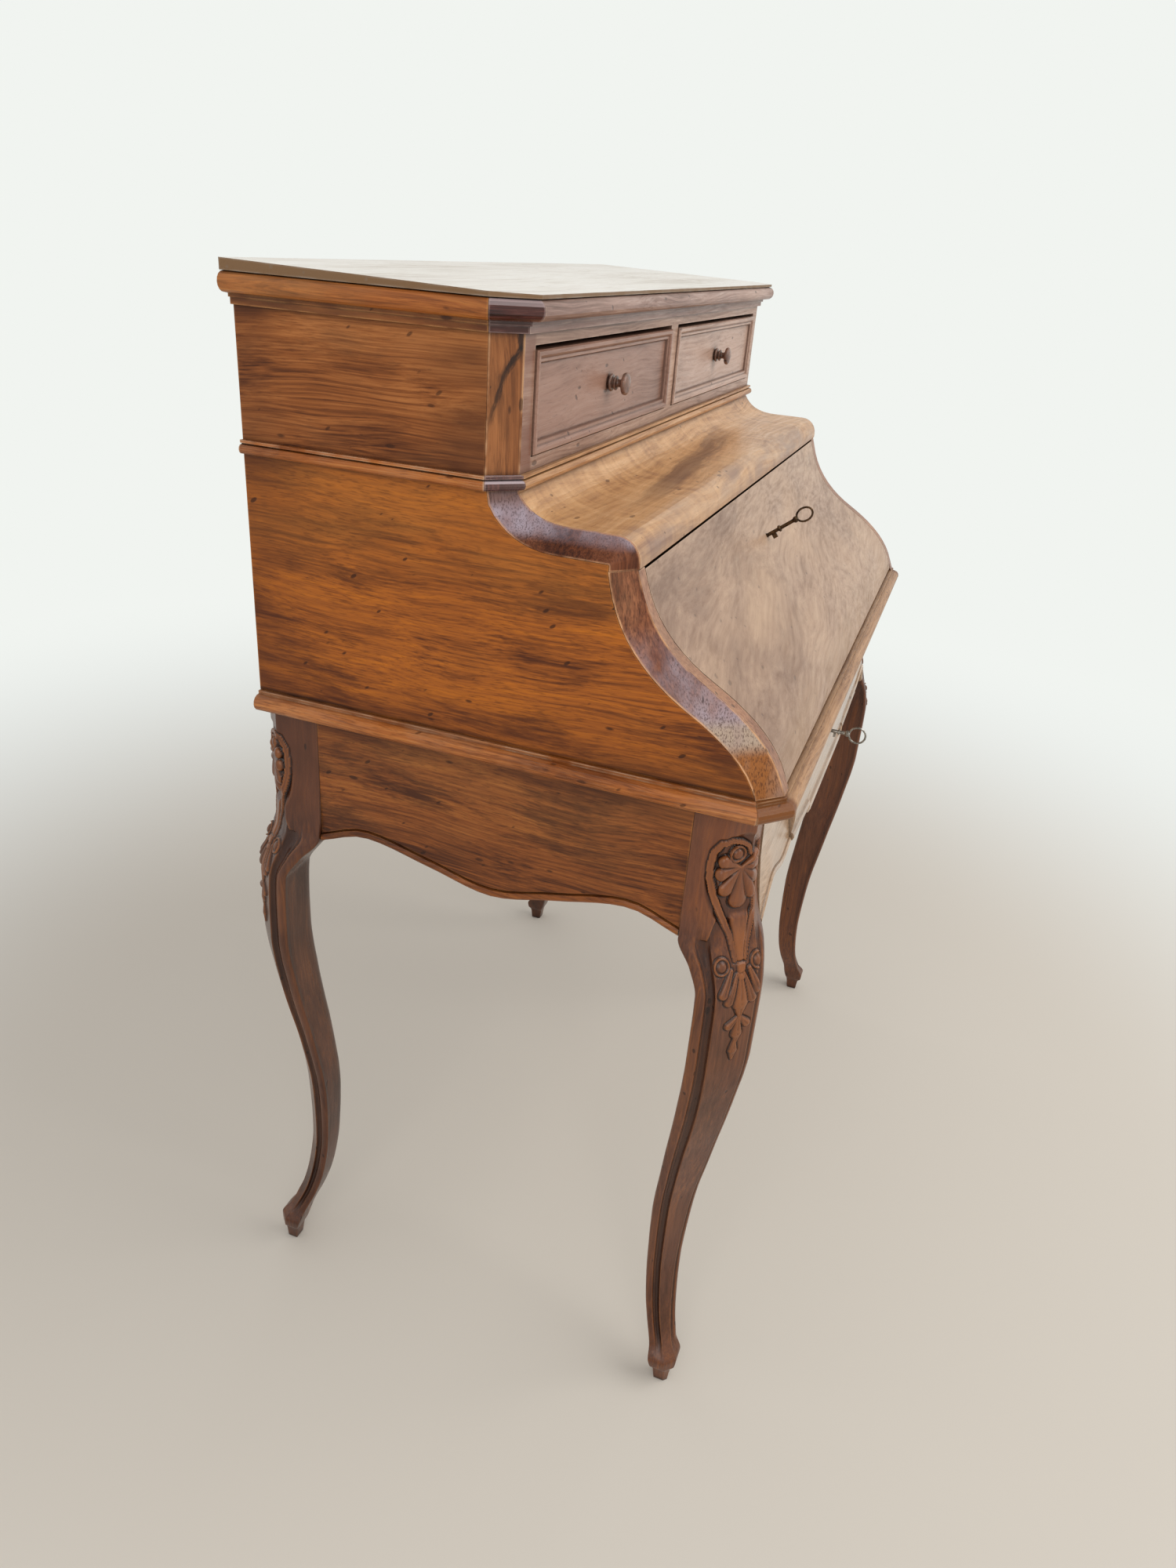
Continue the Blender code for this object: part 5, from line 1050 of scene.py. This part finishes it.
class DESK_OT_case_finish(bpy.types.Operator):
    """Finish the case: sides, mouldings, shelf, posts and top"""

    bl_idname = "desk.case_finish"
    bl_label = "Finish the case"

    def execute(self, context):
        woods = context.scene.desk_looks.woods
        # Waxed walnut that the light never bleached: warm orange-brown with dark smears and knocks.
        finish(
            both("side_panel"), "waxed_walnut_side", woods.side_walnut, "#4f240b", "#b8671a", "#bf7933",
            grain=ALONG_Y, contrast=1.15, smear=1.0, fade=0.25, gloss=(0.40, 0.04, 0.25), shine=0.20,
            knocks=0.8, speckle=0.45, zones=(
                ("Z", 0.870, 0.960, 0.40, "#b8712d"),
                ("Y", 0.165, 0.245, 0.75, "#4f240c"),
                ("Z", 0.835, 0.771, 0.50, "#4f240c"),
                ("Z", 0.7755, 0.7725, 0.90, "#2a1206")))
        # The same boards lower down, darker and more worn; painted shadow darkens their top under the base
        # moulding.
        finish(
            both("side_apron"), "waxed_walnut_apron", linear("#85491f"), "#43200e", "#a5642c", "#b0763f",
            grain=ALONG_Y, centre=(0.0, 0.5, 0.3), smear=0.95, fade=0.25, gloss=(0.40, 0.05, 0.25),
            # Painted shadow of the base moulding along the apron's top.
            shine=0.22, knocks=0.7, speckle=0.45, zones=(("Z", 0.712, 0.740, 0.65, "#43200e"),))
        # The same walnut, drier and browner where it is handled less.
        finish(
            both("gradin_side"), "dry_walnut_gradin", woods.gradin_walnut, "#4a230d", "#ab6a37", "#b27a4b",
            grain=ALONG_Y, centre=(0.0, 0.31, 0.2), streak=(0.20, 0.0020), contrast=1.3, smear=0.60,
            fade=0.28, gloss=(0.46, 0.03, 0.3), shine=0.18,
            zones=(("Y", 0.090, 0.030, 0.80, "#4e2711"), ("Y", 0.185, 0.235, 0.55, "#4a2817")))
        # Waxed mouldings along the sides: brighter, their edges rubbed pale and painted almost white, a
        # painted highlight where the fillets catch the light.
        finish(
            both("bead", "base_moulding"), "waxed_walnut_moulding", linear("#a25c28"), "#552810",
            "#c37c3c", "#c9a483", grain=ALONG_Y, centre=(0.0, 0.12, 0.5), smear=0.6, fade=0.35,
            gloss=(0.38, 0.05, 0.22), shine=0.22, wear=1.6, speckle=0.35)
        # The cornice is darker on its lower fillets and towards its front.
        finish(
            both("cornice"), "waxed_walnut_cornice", linear("#a25c28"), "#552810", "#c37c3c", "#d09658",
            grain=ALONG_Y, centre=(0.0, 0.12, 0.5), smear=0.6, fade=0.35, gloss=(0.38, 0.05, 0.22),
            shine=0.25,
            zones=(("Z", 1.1150, 1.1125, 0.80, "#54290f"), ("Y", 0.080, 0.020, 0.55, "#54290f")))
        # Front of the cornice: the same wood, pale and rosy, partly faded by the light and partly a painted
        # reflection of the bright sky; darker below its roll.
        finish(
            ["cornice_front"], "bloomed_walnut_cornice", linear("#927062"), "#5b3e31", "#b49688",
            "#c4a592", fade=0.40, gloss=(0.36, 0.12, 0.22), smear=0.3,
            zones=(("Z", 1.1150, 1.1125, 0.65, "#6d4536"),))
        # Bead across the front: honey walnut, evenly faded under thin wax.
        finish(
            ["bead_front"], "honey_walnut_bead", woods.honey_walnut, "#7d4d2a", "#cfa274", "#dcb286",
            centre=(0.2, 0.0, 0.3), fade=0.40, gloss=(0.38, 0.1, 0.22), smear=0.35)
        # Base moulding across the front: the same honey, browner, darker at its ends.
        finish(
            ["base_moulding_front"], "honey_walnut_base", linear("#a0744d"), "#633a22", "#bd8f66",
            "#cfa57c", centre=(0.4, 0.0, 0.1), fade=0.40, gloss=(0.38, 0.06, 0.22), smear=0.35,
            speckle=0.4, ends=(0.400, 0.408, "#74400f"))
        # Cove and shelf: honey walnut with fine curl and one dark figured streak along the board.
        finish(
            ["cove_shelf"], "figured_walnut_cove", linear("#c4925f"), "#8a5a36", "#dcae7c", "#e6bd90",
            streak=(0.12, 0.006), band=(0.26, 0.034), ripple=0.30, sway=0.016, fade=0.35, smear=0.35,
            gloss=(0.34, 0.10, 0.2), zones=(("Y", -0.082, -0.106, 0.70, "#83695d"),),
            veins=(((-0.05, -0.05, 0.955), (0.0, 0.0, 3.0), 0.187, 0.017, "#5a3723", 0.70),))
        # Dark stained strips with a high wax gloss, edges rubbed pale, and bands of painted sheen.
        finish(
            both("canted_strip_upper"), "stained_walnut_strip_with_painted_sheen", woods.stained_walnut, "#331409", "#77442a",
            "#bb8862", grain=ALONG_Z, contrast=1.2, fade=0.20, gloss=(0.30, 0.10, 0.12), shine=0.16,
            wear=1.6, smear=0.6, speckle=0.6,
            # The lilac band where the upper strip bends is a painted reflection of the bright sky; it turns
            # brown again above.
            zones=(("Z", 0.952, 0.962, 0.95, "#a3949c"), ("Z", 0.971, 0.982, 0.85, "#714e40")))
        finish(
            both("canted_strip_lower"), "worn_walnut_strip_with_painted_sheen", linear("#6d3c25"), "#3d1b0e", "#92593a",
            "#d09c70", grain=ALONG_Z, centre=(0.3, 0.2, 0.1), contrast=1.2, fade=0.30,
            gloss=(0.30, 0.08, 0.12), shine=0.16, wear=1.6, smear=0.5, speckle=0.7, zones=(
                # The lilac and beige bands are painted reflections of the bright sky; the bottom turns
                # orange-brown.
                ("Z", 0.900, 0.860, 0.95, "#a08e92"),
                ("Z", 0.834, 0.822, 0.85, "#ac957c"),
                ("Z", 0.816, 0.803, 0.98, "#8f5524")))
        # The frame strips beside the fall are paler and redder than the canted ones.
        finish(
            both("fall_stile"), "waxed_walnut_stile", linear("#8c5a3c"), "#57301b", "#a97551", "#cda37f",
            grain=ALONG_Z, centre=(0.2, 0.1, 0.4), fade=0.3, gloss=(0.34, 0.12, 0.18), wear=1.4, smear=0.4)
        # Corner blocks stained nearly black: hard gloss, and a painted sheen, a pale painted reflection where
        # they look up.
        finish(
            both("bead_corner"), "stained_walnut_block", linear("#3c1813"), "#1e0b08", "#6b3f36",
            "#a5857c", grain=ALONG_Z, centre=(0.1, 0.2, 0.1), fade=0.2, gloss=(0.20, 0.40, 0.08),
            shine=0.3, wear=1.3, smear=0.3, bloom=("#c9b6b8", 0.90))
        # Blocks of the cornice: as dark, with short cross grain and a thinner painted sheen.
        finish(
            both("cornice_corner"), "stained_walnut_crown", linear("#4a211a"), "#220c09", "#7c4d44",
            "#b5978f", grain=(0.0, 0.0, -45.0), centre=(0.1, 0.2, 0.1), streak=(0.05, 0.0022),
            contrast=1.4, fade=0.25, gloss=(0.18, 0.25, 0.08), shine=0.3, wear=0.8, smear=0.4,
            zones=(("Z", 1.1150, 1.1125, 0.95, "#45200f"),), bloom=("#c9b2b0", 0.62))
        # Corner posts carry one near-black vein running down at a slant.
        finish(
            both("corner_post"), "veined_walnut_post", linear("#824d28"), "#472611", "#a1663a", "#c1926a",
            grain=ALONG_Z, fade=0.25, gloss=(0.36, 0.08, 0.18), shine=0.25, wear=1.7, smear=0.5, veins=(
                ((-0.4118, -0.0011, 1.1000), (90.0, 86.0, 135.0), 0.0140, 0.0042, "#21140e", 0.85),
                ((-0.4170, 0.0041, 1.0820), (90.0, 56.0, 135.0), 0.0170, 0.0036, "#1d120d", 0.90),
                ((-0.4262, 0.0133, 1.0560), (90.0, 71.0, 135.0), 0.0200, 0.0026, "#21140e", 0.80)))
        # Top board bleached almost white by the light, its edge still brown.
        finish(
            ["top_board"], "bleached_walnut_top", woods.bleached_top, "#c3b7a8", "#efebe3", "#f2eee7",
            fade=0.4, gloss=(0.5, 0.05, 0.3), wear=0.3, smear=0.15, knocks=0.2, edge="#78593a")
        # Frame of the upper case: dry walnut, rosy partly from a painted reflection of the bright sky,
        # browner at its left end.
        finish(
            ["gradin_front_frame"], "faded_walnut_frame_painted_sheen", linear("#a07a64"), "#65412d", "#bf9d86",
            "#cfae97", centre=(0.3, 0.1, 0.0), fade=0.40, gloss=(0.36, 0.12, 0.2), smear=0.4,
            zones=(("X", -0.386, -0.392, 0.90, "#774b38"),))
        # Front aprons: walnut faded to tan under thick wax, so that they catch the light.
        finish(
            both("front_apron"), "faded_walnut_apron", linear("#ab8867"), "#74522f", "#c3a283", "#cfb093",
            centre=(0.1, 0.4, 0.0), fade=0.35, gloss=(0.30, 0.70, 0.16), shine=0.5, smear=0.4)
        return {"FINISHED"}


class DESK_OT_inside_finish(bpy.types.Operator):
    """Finish the inside: writing bed, shelves, runners and back"""

    bl_idname = "desk.inside_finish"
    bl_label = "Finish the inside"

    def execute(self, context):
        woods = context.scene.desk_looks.woods
        # Writing bed and shelf: walnut that the shut fall kept dark, dulled by use.
        finish(
            ["writing_bed", "pigeonhole_shelf"], "waxed_walnut_bed", linear("#7d4f2e"), "#472610",
            "#a06d44", "#b18359", centre=(0.2, 0.3, 0.1), fade=0.3, gloss=(0.42, 0.08, 0.25))
        # Oak that was never polished: dry, open-pored, browned by age and dust.
        finish(
            ["case_deck", "gradin_floor", "drawer_runners"], "unpolished_oak", woods.drawer_oak, "#6f5232",
            "#c4a57c", "#b79a73", centre=(0.5, 0.2, 0.1), streak=(0.14, 0.0032), fade=0.3,
            gloss=(0.72, 0.0, 0.5), shine=0.2, wear=0.4)
        # Back boards: the same oak, greyer, with broad plain figure.
        finish(
            ["back_panel", "back_apron"], "unpolished_oak_back", linear("#8a6a48"), "#5a4028", "#a98860",
            "#a08463", centre=(0.1, 0.2, 0.6), band=(0.5, 0.09), fade=0.4, gloss=(0.75, 0.0, 0.5),
            shine=0.2, wear=0.4)
        return {"FINISHED"}


class DESK_OT_fall_finish(bpy.types.Operator):
    """Finish the fall, its lock, its bolt and its key"""

    bl_idname = "desk.fall_finish"
    bl_label = "Finish the fall"

    def execute(self, context):
        woods = context.scene.desk_looks.woods
        # Walnut bleached to taupe by the light, its figure running across at a slant.
        finish(
            ["fall_front"], "bleached_walnut_fall", woods.fall_veneer, "#7a5a43", "#bd9b7c", "#c8a788",
            grain=(0.0, 0.0, 16.0), streak=(0.20, 0.0055), band=(0.34, 0.055), contrast=0.85, sway=0.016,
            smear=0.45, fade=0.35, gloss=(0.36, 0.10, 0.22), knocks=0.4,
            zones=(("X", 0.05, -0.393, 0.55, "#6f4f3b"), ("Z", 0.82, 0.775, 0.45, "#a07a52")),
            inner="#bd9c7c")
        # Iron of the locks and pivots: near black, dull and mottled by old rust.
        iron = old_metal("forged_iron", "#5f5850", "#413a33", 1.0, 0.46, 0.009)
        dress(iron, "fall_lock", "frieze_lock", *both("fall_pivot"))
        # Bolts and the frieze drawer's key: grey steel, bright where it slides.
        steel = old_metal("filed_steel", "#a9a59e", "#6b655d", 1.0, 0.30, 0.004)
        dress(steel, "fall_bolt", "frieze_bolt", "frieze_key")
        # Key of the fall: bronze gone brown, its edges still glinting.
        bronze = old_metal("tarnished_bronze", "#5f4a34", "#2e221a", 1.0, 0.34, 0.004)
        dress(bronze, "fall_key")
        return {"FINISHED"}


class DESK_OT_drawer_finish(bpy.types.Operator):
    """Finish the two upper drawers and the frieze drawer"""

    bl_idname = "desk.drawer_finish"
    bl_label = "Finish the drawers"

    def execute(self, context):
        woods = context.scene.desk_looks.woods
        # Upper drawers: walnut faded to a dusty rose that is partly a painted reflection of the bright sky,
        # with old wax and painted shade in the quirks.
        finish(
            ["drawer_front_left"], "faded_walnut_drawer_left_painted_sheen", woods.faded_walnut, "#5f3d2d", "#a27c69",
            "#b08b77", centre=(0.1, 0.1, 0.0), contrast=0.6, smear=0.3, fade=0.35, gloss=(0.34, 0.12, 0.2),
            field=(-0.2009, 1.0519, 0.1762, 0.0292))
        # The right drawer had more light and is paler.
        finish(
            ["drawer_front_right"], "faded_walnut_drawer_right_painted_sheen", linear("#ad8c79"), "#644534", "#c4a492",
            "#ceb09e", centre=(0.6, 0.1, 0.0), contrast=0.6, smear=0.3, fade=0.40, gloss=(0.34, 0.12, 0.2),
            field=(0.2009, 1.0519, 0.1762, 0.0292))
        # Frieze drawer: faded tan under thick wax, as on the aprons beside it.
        finish(
            ["frieze_drawer_front"], "faded_walnut_frieze", linear("#ab8867"), "#74522f", "#c3a283",
            "#cfb093", centre=(0.2, 0.5, 0.0), contrast=0.85, smear=0.4, fade=0.35,
            gloss=(0.30, 0.70, 0.16), shine=0.5)
        # Drawer boxes: dry oak, a little cleaner than the rest of the inside.
        finish(
            ["frieze_drawer_box", *both("drawer_box")], "unpolished_oak_drawer", woods.drawer_oak,
            "#7a5c3a", "#c9ac84", "#bda17a", grain=ALONG_Y, centre=(0.3, 0.6, 0.2), streak=(0.14, 0.0032),
            fade=0.3, gloss=(0.72, 0.0, 0.5), shine=0.2, wear=0.4)
        return {"FINISHED"}


class DESK_OT_carved_legs(bpy.types.Operator):
    """Carve the four cabriole legs"""

    bl_idname = "desk.carved_legs"
    bl_label = "Carve the legs"

    def execute(self, context):
        looks = context.scene.desk_looks
        # Dark stained walnut: painted shade makes the grounds and cuts near black, rubbing and a painted
        # highlight make the tops orange-brown.
        wood = old_wood(
            "carved_walnut_leg", looks.woods.leg_walnut, "#25100a", "#96582a", "#a2693c", grain=ALONG_Z,
            contrast=0.5, fade=0.15, gloss=(0.30, 0.25, 0.12), shine=0.22, smear=0.45,
            # The back legs are darkened as a whole by painted shade.
            zones=(("Z", 0.600, 0.660, 0.50, "#8e4f28"), ("Y", 0.12, 0.20, 0.60, "#2c150d")), relief=True)
        for name in LEGS:
            side = -1.0 if name.endswith("left") else 1.0
            outward = -1.0 if "front" in name else 1.0
            mesh = carved_leg(name, side, outward, looks.carving)
            piece = plain_piece("carved_" + name, mesh, wood, "desk")
            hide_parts(name)
        return {"FINISHED"}


class DESK_OT_turned_knobs(bpy.types.Operator):
    """Turn the two drawer knobs"""

    bl_idname = "desk.turned_knobs"
    bl_label = "Turn the knobs"

    def execute(self, context):
        looks = context.scene.desk_looks
        # Turned walnut: dark, close in the grain and polished by hands.
        wood = old_wood(
            "turned_walnut_knob", linear("#6b4636"), "#25130f", "#9a735d", "#b3927f", grain=ALONG_Y,
            streak=(0.05, 0.004), fade=0.3, gloss=(0.26, 0.3, 0.12), knocks=0.2)
        tree = turned_tree(KNOB_OUTLINE)
        for side in LEFT_RIGHT:
            node = "knob_" + side
            low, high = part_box(node)
            mesh = grown_mesh("turned_" + node, bpy.data.meshes.new(node + "_host"), tree, {
                "Radius": (high.x - low.x) / 2, "Reach": high.y - low.y,
                "Sides": looks.carving.knob_sides, "Finish": wood})
            mesh.transform(Matrix.Translation(((low.x + high.x) / 2, high.y, (low.z + high.z) / 2)))
            piece = plain_piece("turned_" + node, mesh, None, "drawer_" + side)
            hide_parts(node)
        return {"FINISHED"}


class DESK_OT_lock_screws(bpy.types.Operator):
    """Set four screws in each lock's plate"""

    bl_idname = "desk.lock_screws"
    bl_label = "Set the lock screws"

    def execute(self, context):
        carving = context.scene.desk_looks.carving
        steel = bpy.data.materials["filed_steel"]
        tree = screw_tree()
        for node, body in (("fall_lock", "fall"), ("frieze_lock", "frieze_drawer")):
            places, facing = plate_screws(node)
            host = bpy.data.meshes.new(node + "_screws_host")
            host.from_pydata(places, [], [])
            mesh = grown_mesh(node + "_screws", host, tree, {
                "Head radius": carving.screw_radius, "Proud": carving.screw_proud,
                "Facing": facing, "Finish": steel})
            plain_piece(node + "_screws", mesh, None, body)
        return {"FINISHED"}


class DESK_OT_back_fillets(bpy.types.Operator):
    """Fill the slits between the upper case's sides and the back"""

    bl_idname = "desk.back_fillets"
    bl_label = "Fit the back fillets"

    def execute(self, context):
        oak = bpy.data.materials["unpolished_oak_back"]
        back_low, back_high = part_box("back_panel")
        for side in LEFT_RIGHT:
            low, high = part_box("gradin_side_" + side)
            inner, outer = (high.x, back_low.x) if side == "left" else (back_high.x, low.x)
            x0, x1 = min(inner, outer) + FILLET_GAP, max(inner, outer) - FILLET_GAP
            y0, y1 = back_low.y, back_high.y - FILLET_GAP
            z0, z1 = low.z + FILLET_GAP, high.z - FILLET_GAP
            points = [(x, y, z) for x in (x0, x1) for y in (y0, y1) for z in (z0, z1)]
            faces = [(0, 1, 3, 2), (4, 6, 7, 5), (0, 4, 5, 1), (2, 3, 7, 6), (0, 2, 6, 4), (1, 5, 7, 3)]
            mesh = bpy.data.meshes.new("back_fillet_" + side)
            mesh.from_pydata(points, [], faces)
            plain_piece("back_fillet_" + side, mesh, oak, "desk")
        return {"FINISHED"}


class DESK_OT_stage(bpy.types.Operator):
    """Set the camera, the lamps and the floor"""

    bl_idname = "desk.stage"
    bl_label = "Set the stage"

    def execute(self, context):
        scene = context.scene
        stage = scene.desk_looks.stage
        scene.view_settings.view_transform = "Standard"
        self.set_camera(scene, stage)
        self.set_lamp(scene, "key_lamp", *KEY_LAMP, stage.key_power)
        self.set_lamp(scene, "fill_lamp", *FILL_LAMP, stage.fill_power)
        self.set_floor(scene, stage)
        self.set_world(scene, stage)
        return {"FINISHED"}

    def set_camera(self, scene, stage):
        """The camera of the photograph's view, with its small roll."""
        place = Vector(stage.camera_place)
        ahead = (Vector(stage.camera_aim) - place).normalized()
        level = ahead.cross(Vector((0.0, 0.0, 1.0))).normalized()
        upright = level.cross(ahead)
        right = math.cos(stage.camera_roll) * level + math.sin(stage.camera_roll) * upright
        up = right.cross(ahead)
        data = bpy.data.cameras.new("photograph_view")
        data.lens = stage.camera_lens
        data.sensor_width = SENSOR_WIDTH
        data.clip_end = SIGHT_ENDS
        camera = bpy.data.objects.new("photograph_view", data)
        turn = Matrix((right, up, -ahead)).transposed().to_4x4()
        camera.matrix_world = Matrix.Translation(place) @ turn
        scene.collection.objects.link(camera)
        scene.camera = camera

    def set_lamp(self, scene, name, place, aim, size, power):
        """A square soft lamp that looks at a point."""
        data = bpy.data.lights.new(name, "AREA")
        data.size = size
        data.energy = power
        lamp = bpy.data.objects.new(name, data)
        lamp.location = place
        lamp.rotation_euler = (Vector(aim) - Vector(place)).to_track_quat("-Z", "Y").to_euler()
        scene.collection.objects.link(lamp)

    def set_floor(self, scene, stage):
        """A wide round floor that pales with distance."""
        mesh = bpy.data.meshes.new("floor")
        turns = [2 * math.pi * k / FLOOR_SIDES for k in range(FLOOR_SIDES)]
        points = [(FLOOR_RADIUS * math.cos(a), FLOOR_RADIUS * math.sin(a), 0.0) for a in turns]
        mesh.from_pydata(points, [], [tuple(range(FLOOR_SIDES))])
        floor = bpy.data.objects.new("floor", mesh)
        floor.location.z = -FLOOR_DROP
        scene.collection.objects.link(floor)
        # Pale limestone: matt and even, paling into the background.
        material, tree, place = open_material("pale_limestone_floor")
        far = add_node(tree, "ShaderNodeVectorMath", {0: place}, operation="LENGTH").outputs["Value"]
        share = add_node(tree, "ShaderNodeMapRange", {
            "Value": far, "From Min": FLOOR_PALES[0], "From Max": FLOOR_PALES[1]},
            interpolation_type="SMOOTHSTEP")
        colour = add_node(tree, "ShaderNodeMix", {
            0: share, 6: solid(stage.floor_tone), 7: solid(stage.backdrop_tone)}, data_type="RGBA").outputs[2]
        stone = add_node(tree, "ShaderNodeBsdfDiffuse", {"Color": colour})
        glow = add_node(tree, "ShaderNodeEmission", {"Color": solid(stage.backdrop_tone), "Strength": 1.0})
        path = add_node(tree, "ShaderNodeLightPath")
        blank = add_node(tree, "ShaderNodeMath", {
            0: share, 1: path.outputs["Is Camera Ray"]}, operation="MULTIPLY")
        shader = add_node(tree, "ShaderNodeMixShader", {0: blank, 1: stone, 2: glow})
        add_node(tree, "ShaderNodeOutputMaterial", {"Surface": shader})
        mesh.materials.append(material)

    def set_world(self, scene, stage):
        """Even light all round; the background itself is pale to the camera and in reflections."""
        world = bpy.data.worlds.new("soft_daylight")
        world.use_nodes = True
        tree = world.node_tree
        tree.nodes.clear()
        path = add_node(tree, "ShaderNodeLightPath")
        seen = path.outputs["Is Camera Ray"]
        for ray in ("Is Glossy Ray", "Is Transmission Ray"):
            seen = add_node(tree, "ShaderNodeMath", {0: seen, 1: path.outputs[ray]}, operation="MAXIMUM")
        light = add_node(tree, "ShaderNodeBackground", {
            "Color": solid(linear(DAYLIGHT)), "Strength": stage.ambient})
        backdrop = add_node(tree, "ShaderNodeBackground", {
            "Color": solid(stage.backdrop_tone), "Strength": 1.0})
        mixed = add_node(tree, "ShaderNodeMixShader", {0: seen, 1: light, 2: backdrop})
        add_node(tree, "ShaderNodeOutputWorld", {"Surface": mixed})
        scene.world = world


class DESK_PT_looks(bpy.types.Panel):
    """The desk's settings and steps"""

    bl_idname = "DESK_PT_looks"
    bl_label = "Writing desk"
    bl_space_type = "VIEW_3D"
    bl_region_type = "UI"
    bl_category = "Desk"

    def draw(self, context):
        looks = context.scene.desk_looks
        for group in (looks.woods, looks.carving, looks.stage):
            box = self.layout.box()
            for name in group.__annotations__:
                box.prop(group, name)
        for step in STEPS:
            self.layout.operator(step.bl_idname)


STEPS = (
    DESK_OT_case_finish, DESK_OT_inside_finish, DESK_OT_fall_finish, DESK_OT_drawer_finish,
    DESK_OT_carved_legs, DESK_OT_turned_knobs, DESK_OT_lock_screws, DESK_OT_back_fillets, DESK_OT_stage,
)
CLASSES = (DeskWoods, DeskCarving, DeskStage, DeskLooks, *STEPS, DESK_PT_looks)


def register():
    for cls in CLASSES:
        bpy.utils.register_class(cls)
    bpy.types.Scene.desk_looks = bpy.props.PointerProperty(type=DeskLooks)


def unregister():
    del bpy.types.Scene.desk_looks
    for cls in reversed(CLASSES):
        bpy.utils.unregister_class(cls)


def main():
    """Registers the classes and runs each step."""
    register()
    bpy.ops.desk.case_finish()
    bpy.ops.desk.inside_finish()
    bpy.ops.desk.fall_finish()
    bpy.ops.desk.drawer_finish()
    bpy.ops.desk.carved_legs()
    bpy.ops.desk.turned_knobs()
    bpy.ops.desk.lock_screws()
    bpy.ops.desk.back_fillets()
    bpy.ops.desk.stage()


if __name__ == "__main__":
    main()
